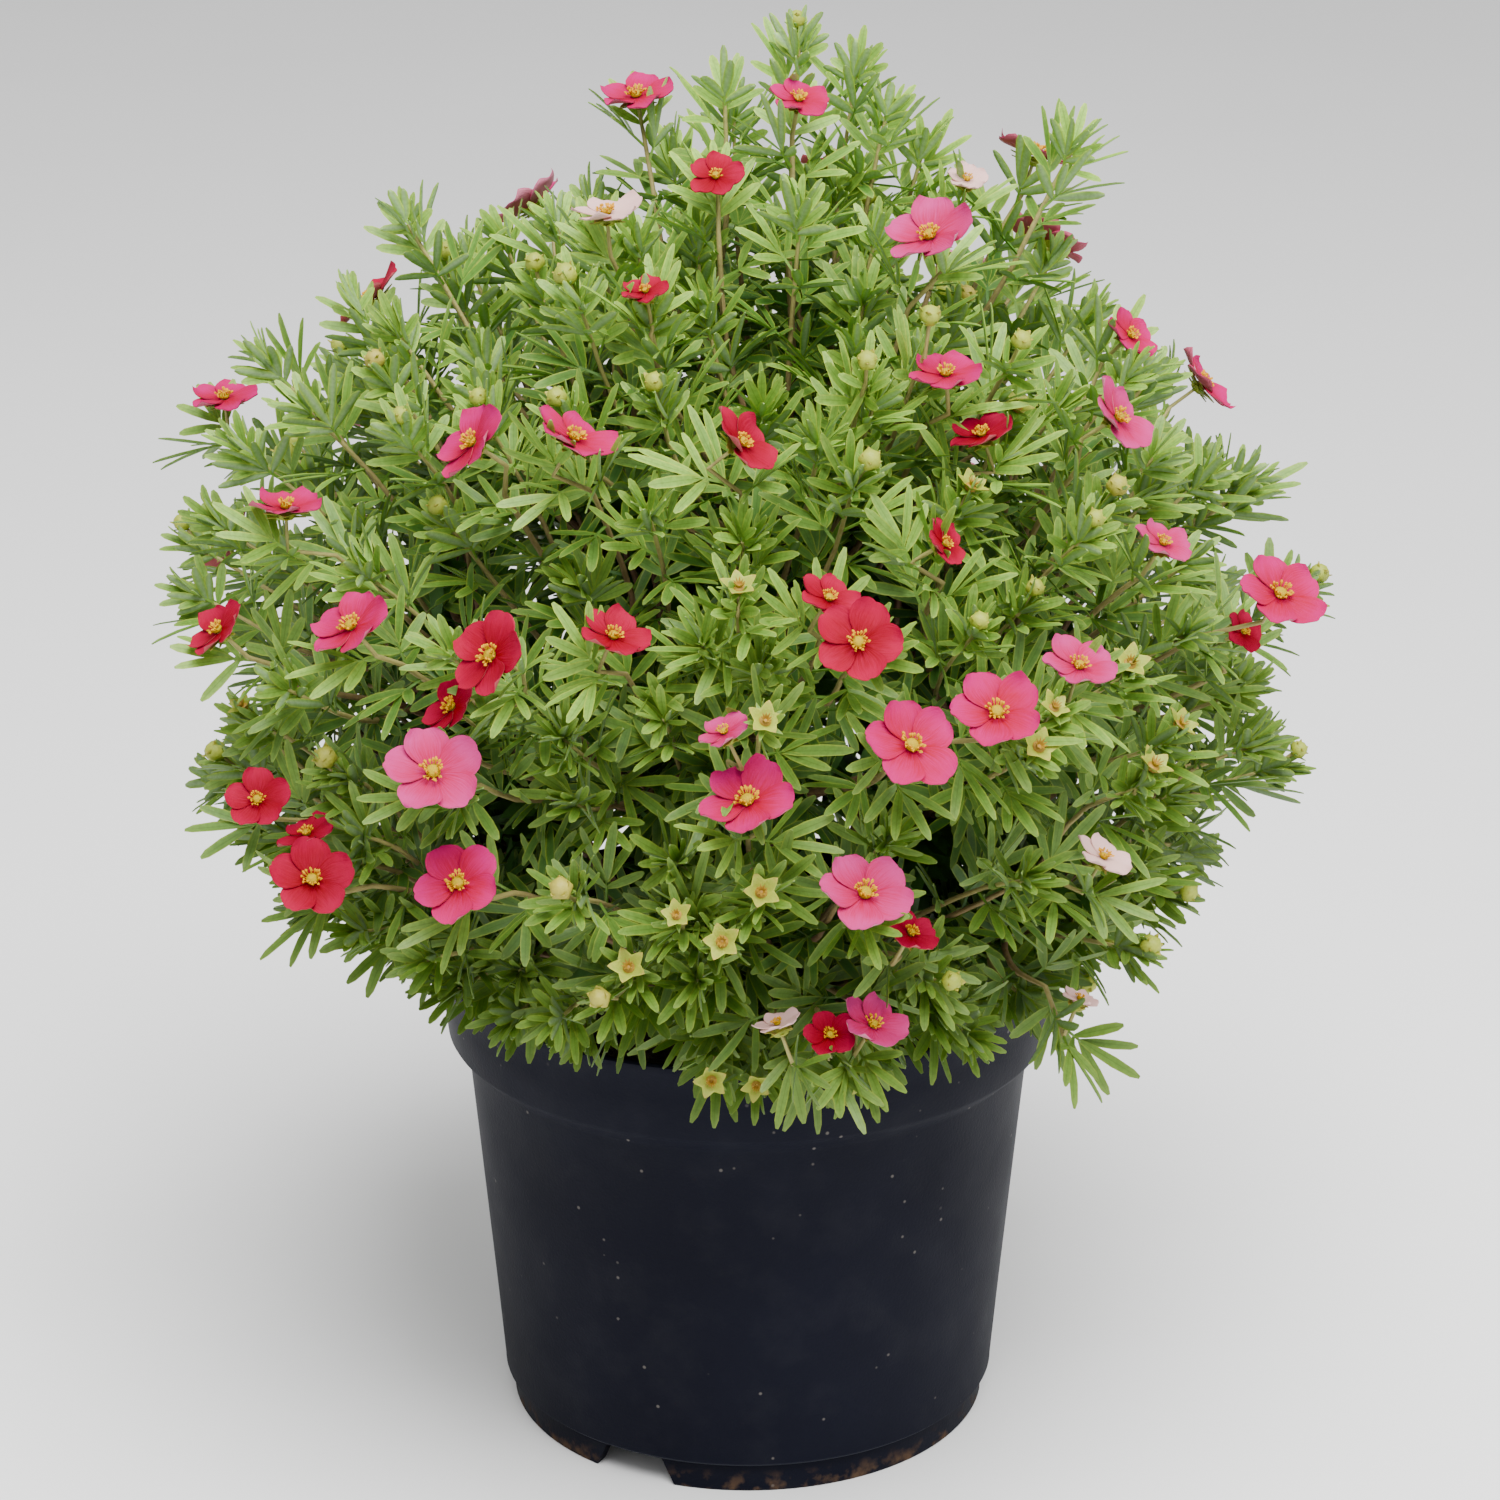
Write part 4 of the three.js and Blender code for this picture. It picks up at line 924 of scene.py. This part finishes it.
def cut(piece, cutter):
    """Takes the cutter out of a piece and leaves a plain mesh."""
    modifier = piece.modifiers.new("cut", "BOOLEAN")
    modifier.object = cutter
    modifier.solver = "EXACT"
    bpy.context.view_layer.update()
    graph = bpy.context.evaluated_depsgraph_get()
    mesh = bpy.data.meshes.new_from_object(piece.evaluated_get(graph))
    piece.modifiers.clear()
    piece.data = mesh
    bpy.data.objects.remove(cutter)


def pot_piece(material):
    piece = lathe("fine_pot", pot_profile(), POT_SIDES)
    cut(piece, notch_cutter())
    piece.data.shade_smooth()
    piece.data.set_sharp_from_angle(angle=math.radians(POT_CRISP_ANGLE))
    piece.data.materials.append(material)
    return piece


# Soil

SOIL_RINGS = 44
SOIL_SIDES = 110
SOIL_REACH = COLLAR_FOOT_RADIUS - WALL - 0.6
CRUMBS = 300


def soil_height(x, y):
    spot = Vector((x * 0.07, y * 0.07, 3.1))
    fine = Vector((x * 0.3, y * 0.3, 7.7))
    return 2.2 * noise.noise(spot) + 1.5 * noise.noise(fine) + 0.8 * abs(noise.noise(fine * 2.7))


def soil_piece(material):
    """Crumbly compost up to a little below the rim."""
    floor = FOOT_HEIGHT + WALL + 0.4
    profile = [(0, floor), (BODY_FOOT_RADIUS - WALL - 0.6, floor)]
    profile.append((BODY_TOP_RADIUS - WALL - 0.8, POT_HEIGHT - COLLAR_HEIGHT - COLLAR_STEP))
    profile.append((SOIL_REACH, SOIL_TOP - 5))
    profile += [(SOIL_REACH * (1 - i / SOIL_RINGS), SOIL_TOP) for i in range(1, SOIL_RINGS)]
    profile.append((0, SOIL_TOP))
    piece = lathe("fine_soil", profile, SOIL_SIDES)
    for vertex in piece.data.vertices:
        x, y, z = vertex.co / MM
        if z > SOIL_TOP - 4:
            vertex.co.z = (z + soil_height(x, y)) * MM
    piece.data.materials.append(material)
    piece.data.shade_smooth()
    return piece


def crumb_piece(material):
    """Loose crumbs that lie on the compost."""
    random = np.random.default_rng(11)
    batch = Batch()
    for _ in range(CRUMBS):
        distance = (SOIL_REACH - 4) * math.sqrt(random.random())
        angle = random.random() * 6.28
        x, y = distance * math.cos(angle), distance * math.sin(angle)
        radius = 0.9 + 2.2 * random.random() ** 3
        place = np.array([x, y, SOIL_TOP + soil_height(x, y) - 0.4 * radius])
        face = unit(random.normal(0, 1, 3) + 1.5 * UP)
        template = dome_points(4, 6, radius, 1.5 * radius) * random.uniform(0.75, 1.25, (1, 24, 3))
        points = placed(template, frame_on(face)[None], place[None])
        batch.add(points, ring_triangles(4, 6), 0, np.zeros((1, 24, 4)))
    return batch.piece("soil_crumbs", [material])


# Materials


class Surface:
    """A new material, with a short call for each kind of node that the materials use."""

    def __init__(self, name):
        self.material = bpy.data.materials.new(name)
        self.material.use_nodes = True
        self.tree = self.material.node_tree
        self.shader = self.tree.nodes["Principled BSDF"]
        self.place = self.node("TexCoord", {})["Object"]

    def give(self, node, inputs):
        """Links an input that is given a socket, and sets one that is given a number or a colour."""
        for key, value in inputs.items():
            if isinstance(value, bpy.types.NodeSocket):
                self.tree.links.new(value, node.inputs[key])
            else:
                node.inputs[key].default_value = (*value, 1.0) if isinstance(value, tuple) else value

    def node(self, kind, inputs, **settings):
        made = self.tree.nodes.new("ShaderNode" + kind)
        for key, value in settings.items():
            setattr(made, key, value)
        self.give(made, inputs)
        return made.outputs

    def mixed(self, share, first, second, blend="MIX"):
        return self.node("Mix", {0: share, 6: first, 7: second}, data_type="RGBA", blend_type=blend)[2]

    def scaled(self, value, low, high, to_low=0.0, to_high=1.0):
        return self.node("MapRange", {0: value, 1: low, 2: high, 3: to_low, 4: to_high})[0]

    def maths(self, operation, first, second=0.0):
        return self.node("Math", {0: first, 1: second}, operation=operation)[0]

    def times(self, first, second):
        return self.maths("MULTIPLY", first, second)

    def over(self, face, colour, value, low, high, most=1.0):
        """Lays a colour over a face, by up to a share where a value goes from low to high."""
        return self.mixed(self.scaled(value, low, high, 0.0, most), face, colour)

    def noise(self, scale, detail=3.0, place=None, roughness=0.55):
        inputs = {"Vector": place or self.place, "Scale": scale, "Detail": detail, "Roughness": roughness}
        return self.node("TexNoise", inputs)[0]

    def height(self):
        """Height above the floor in metres."""
        return self.node("SeparateXYZ", {0: self.place})[2]

    def look(self):
        """The four numbers that each point of a leafy piece or a bloom carries."""
        look = self.node("Attribute", {}, attribute_name="look")
        return [*self.node("SeparateColor", {0: look["Color"]})[:3], look["Alpha"]]

    def see_through(self, colour, share):
        """Lets part of the light through a thin sheet, tinted."""
        thin = self.node("BsdfTranslucent", {"Color": colour})[0]
        both = self.node("MixShader", {0: share, 1: self.shader.outputs[0], 2: thin})[0]
        self.tree.links.new(both, self.tree.nodes["Material Output"].inputs["Surface"])

    def bump(self, grain, depth, strength):
        """Relief from a grain, with its depth in metres."""
        normal = self.node("Bump", {"Height": grain, "Distance": depth, "Strength": strength})[0]
        self.give(self.shader, {"Normal": normal})

    def finish(self, colour, roughness, specular=0.5):
        values = {"Base Color": colour, "Roughness": roughness, "Specular IOR Level": specular}
        self.give(self.shader, values)
        return self.material


def leaf_material():
    """Green leaflets: young ones bright, older ones deep, with paler margins and undersides, painted shade
    along the midrib groove, and painted light that brightens high leaflets and darkens low ones.
    """
    leaf = Surface("leaf")
    tone, across, under, along = leaf.look()
    patch = leaf.noise(55.0)
    older = leaf.mixed(patch, (0.03, 0.13, 0.013), (0.078, 0.22, 0.026))
    younger = leaf.mixed(patch, (0.18, 0.37, 0.04), (0.33, 0.53, 0.08))
    face = leaf.mixed(tone, older, younger)
    # Painted shade: a darker line along the middle of each leaflet, where its fold makes a groove.
    face = leaf.over(face, (0.03, 0.1, 0.006), across, 0.16, 0.02, 0.4)
    face = leaf.over(face, (0.47, 0.58, 0.055), across, 0.7, 0.96, 0.75)
    face = leaf.over(face, (0.45, 0.55, 0.14), along, 0.7, 1.0, 0.22)
    face = leaf.over(face, (0.32, 0.44, 0.25), under, 0.55, 0.95, 0.72)
    speckle = leaf.scaled(leaf.noise(900.0, 2.0), 0.35, 0.65, 0.86, 1.12)
    # Painted light and shade: leaflets high in the crown are made brighter and low ones darker by their
    # height, as light falls from above, multiplied by a random speckle.
    speckle_and_painted_light = leaf.times(speckle, leaf.scaled(leaf.height(), 0.18, 0.4, 0.52, 1.16))
    face = leaf.mixed(1.0, face, speckle_and_painted_light, "MULTIPLY")
    leaf.bump(leaf.maths("ADD", leaf.times(across, 0.6), leaf.noise(1400.0, 2.0)), 0.00018, 0.5)
    leaf.see_through(leaf.mixed(0.5, face, (0.4, 0.66, 0.04)), 0.33)
    return leaf.finish(face, leaf.scaled(leaf.noise(300.0), 0.3, 0.7, 0.42, 0.62), 0.4)


def twig_material():
    """Thin bark: brown low down, greener towards the tips, with fine length lines."""
    twig = Surface("twig")
    young, _, _, chance = twig.look()
    streak = twig.noise(420.0, 4.0)
    bark = twig.mixed(streak, (0.075, 0.035, 0.018), (0.25, 0.14, 0.06))
    green = twig.mixed(streak, (0.2, 0.17, 0.045), (0.36, 0.34, 0.1))
    share = twig.maths("ADD", twig.scaled(young, 0.45, 0.95), twig.scaled(chance, 0.0, 1.0, -0.15, 0.15))
    twig.bump(streak, 0.0006, 0.7)
    return twig.finish(twig.mixed(share, bark, green), 0.68)


def calyx_material(name, first, second):
    """Soft yellow-green sepals with paler edges and browner tips."""
    calyx = Surface(name)
    _, across, _, along = calyx.look()
    face = calyx.mixed(calyx.noise(600.0), first, second)
    face = calyx.over(face, (0.44, 0.46, 0.06), across, 0.7, 1.0, 0.5)
    face = calyx.over(face, (0.36, 0.18, 0.04), along, 0.75, 1.0, 0.45)
    calyx.bump(calyx.noise(1500.0, 2.0), 0.00025, 0.6)
    return calyx.finish(face, 0.62)


def petal_material(colour):
    """A silky petal with fine rays from its deeper base to its paler edge."""
    body, base, edge, back = PETAL_COLOURS[colour]
    petal = Surface("petals_" + colour)
    along, across, under, chance = petal.look()
    spread = {"X": petal.times(across, 34.0), "Y": petal.times(along, 2.2), "Z": petal.times(chance, 40.0)}
    rays = petal.noise(1.0, 4.0, petal.node("CombineXYZ", spread)[0], 0.6)
    face = petal.over(body, edge, petal.noise(110.0), 0.3, 0.7)
    face = petal.over(face, edge, along, 0.62, 1.0, 0.55)
    deep = petal.times(petal.scaled(along, 0.82, 0.25), petal.scaled(rays, 0.25, 0.58))
    face = petal.mixed(deep, face, base)
    face = petal.over(face, base, rays, 0.52, 0.78, 0.35)
    face = petal.over(face, back, under, 0.4, 0.9, 0.6)
    face = petal.over(face, FADED_COLOUR, chance, 0.85, 0.95, 0.72)
    petal.bump(rays, 0.0006, 0.5)
    petal.see_through(face, 0.24)
    return petal.finish(face, 0.52, 0.06)


def stamen_material():
    """Yellow stamens round a greener middle."""
    stamen = Surface("stamens")
    along = stamen.look()[0]
    grain = stamen.noise(1600.0)
    low = stamen.mixed(grain, (0.26, 0.2, 0.002), (0.45, 0.29, 0.003))
    high = stamen.mixed(grain, (0.5, 0.2, 0.001), (0.62, 0.34, 0.003))
    stamen.bump(grain, 0.0004, 0.8)
    return stamen.finish(stamen.over(low, high, along, 0.3, 0.75), 0.6, 0.1)


def pot_material():
    """Matt dark navy-black moulded plastic with pale dust, fine scuffs, dried soil on the foot, and a
    painted highlight along the lower edge of the body.
    """
    pot = Surface("pot")
    height = pot.height()
    plastic = pot.over((0.0028, 0.0032, 0.0072), (0.0042, 0.0048, 0.0102), pot.noise(14.0, 5.0), 0.3, 0.7)
    specks = pot.node("TexVoronoi", {"Vector": pot.place, "Scale": 260.0})
    chance = pot.node("SeparateColor", {0: specks["Color"]})[0]
    speck = pot.times(pot.scaled(specks["Distance"], 0.17, 0.09), pot.scaled(chance, 0.9, 0.93))
    plastic = pot.mixed(pot.times(speck, 0.4), plastic, (0.2, 0.18, 0.16))
    plastic = pot.over(plastic, (0.12, 0.12, 0.12), pot.noise(60.0, 6.0), 0.5, 0.8, 0.03)
    # Painted highlight: a thin paler line round the pot where the body's lower edge rounds off, about 10 mm
    # up.
    from_edge = pot.maths("ABSOLUTE", pot.maths("SUBTRACT", height, 0.0101))
    plastic = pot.over(plastic, (0.03, 0.033, 0.042), from_edge, 0.0008, 0.0002, 0.5)
    mud = pot.times(pot.scaled(height, 0.0075, 0.0005), pot.scaled(pot.noise(190.0, 8.0), 0.5, 0.66))
    plastic = pot.mixed(pot.times(mud, 0.8), plastic, (0.085, 0.05, 0.028))
    pot.bump(pot.maths("ADD", pot.noise(1100.0, 2.0), pot.times(mud, 2.0)), 0.00025, 0.35)
    roughness = pot.scaled(pot.noise(40.0, 5.0), 0.3, 0.7, 0.5, 0.58)
    return pot.finish(plastic, pot.maths("ADD", roughness, pot.times(mud, 0.3)), 0.05)


def soil_material():
    """Dark compost with paler crumbs."""
    soil = Surface("soil")
    grain = soil.noise(240.0, 8.0, roughness=0.7)
    face = soil.over((0.012, 0.008, 0.005), (0.085, 0.05, 0.03), grain, 0.3, 0.7)
    soil.bump(grain, 0.003, 0.9)
    return soil.finish(soil.over(face, (0.13, 0.085, 0.05), soil.noise(60.0, 4.0), 0.4, 0.75, 0.4), 0.93)


def floor_material():
    floor = Surface("floor")
    return floor.finish(floor.mixed(floor.noise(3.0), (0.8, 0.8, 0.8), (0.84, 0.84, 0.84)), 0.8)


# Body, base, edge and underside of the petals
PETAL_COLOURS = {
    "pink": ((0.46, 0.002, 0.07), (0.36, 0.0006, 0.014), (0.51, 0.007, 0.15), (0.6, 0.2, 0.24)),
    "red": ((0.31, 0.0006, 0.02), (0.2, 0.0002, 0.003), (0.4, 0.002, 0.045), (0.55, 0.16, 0.16)),
    "light_pink": ((0.5, 0.016, 0.125), (0.42, 0.002, 0.045), (0.55, 0.042, 0.22), (0.66, 0.32, 0.36)),
}
FADED_COLOUR = (0.84, 0.66, 0.56)


def all_materials():
    materials = {
        "leaf": leaf_material(),
        "twig": twig_material(),
        "calyx": calyx_material("calyx", (0.17, 0.23, 0.01), (0.34, 0.36, 0.03)),
        "spent": calyx_material("spent", (0.15, 0.06, 0.002), (0.4, 0.24, 0.006)),
        "stamens": stamen_material(),
        "pot": pot_material(),
        "soil": soil_material(),
    }
    for colour in PETAL_COLOURS:
        materials["petals_" + colour] = petal_material(colour)
    return materials


# Stage


def soft_light(name, place, target, size, watts):
    data = bpy.data.lights.new(name, "AREA")
    data.size = size
    data.energy = watts
    light = linked(name, data)
    light.location = place
    light.rotation_euler = (Vector(target) - Vector(place)).to_track_quat("-Z", "Y").to_euler()


def build_stage():
    corners = [(x * FLOOR_REACH, y * FLOOR_REACH, 0) for x, y in ((-1, -1), (1, -1), (1, 1), (-1, 1))]
    floor = polygon_piece("floor", corners, [(0, 1, 2, 3)])
    floor.data.materials.append(floor_material())
    world = bpy.data.worlds.new("studio")
    world.use_nodes = True
    background = world.node_tree.nodes["Background"]
    background.inputs[0].default_value = (1.0, 1.0, 1.0, 1.0)
    background.inputs[1].default_value = 0.8
    bpy.context.scene.world = world
    soft_light("key", (0.2, -0.9, 2.1), (0, 0, 0.25), 1.6, 140)
    soft_light("fill", (1.5, -1.2, 1.2), (0, 0, 0.2), 1.4, 16)


def build_camera():
    data = bpy.data.cameras.new("camera")
    data.sensor_width = 36
    data.lens = CAMERA_LENS
    data.shift_x = CAMERA_SHIFT
    camera = linked("camera", data)
    camera.location = CAMERA_PLACE * MM
    camera.rotation_euler = (math.radians(90 - CAMERA_DOWN), 0, 0)
    bpy.context.scene.camera = camera


# The plant


def declare(piece, slot, *nodes):
    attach(piece, "root")
    if nodes:
        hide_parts(*nodes)


def build_plant():
    materials = all_materials()
    declare(pot_piece(materials["pot"]), "pot", "pot")
    declare(soil_piece(materials["soil"]), "soil", "soil")
    declare(crumb_piece(materials["soil"]), "soil")
    blooms = all_blooms()
    for seed, bloom in enumerate(blooms):
        piece = bloom_piece(bloom, materials, seed)
        nodes = [bloom.name] if seed < FRONT_BLOOMS else []
        declare(piece, "petals_" + bloom.colour, *nodes)
    tips = leafy_tips(blooms)
    clearings = clearings_for(blooms, tips)
    for number in range(len(STEMS)):
        piece = stem_piece(number, blooms + tips, clearings, materials)
        declare(piece, "foliage", f"stem_{number + 1:02d}")


build_stage()
build_camera()
build_plant()
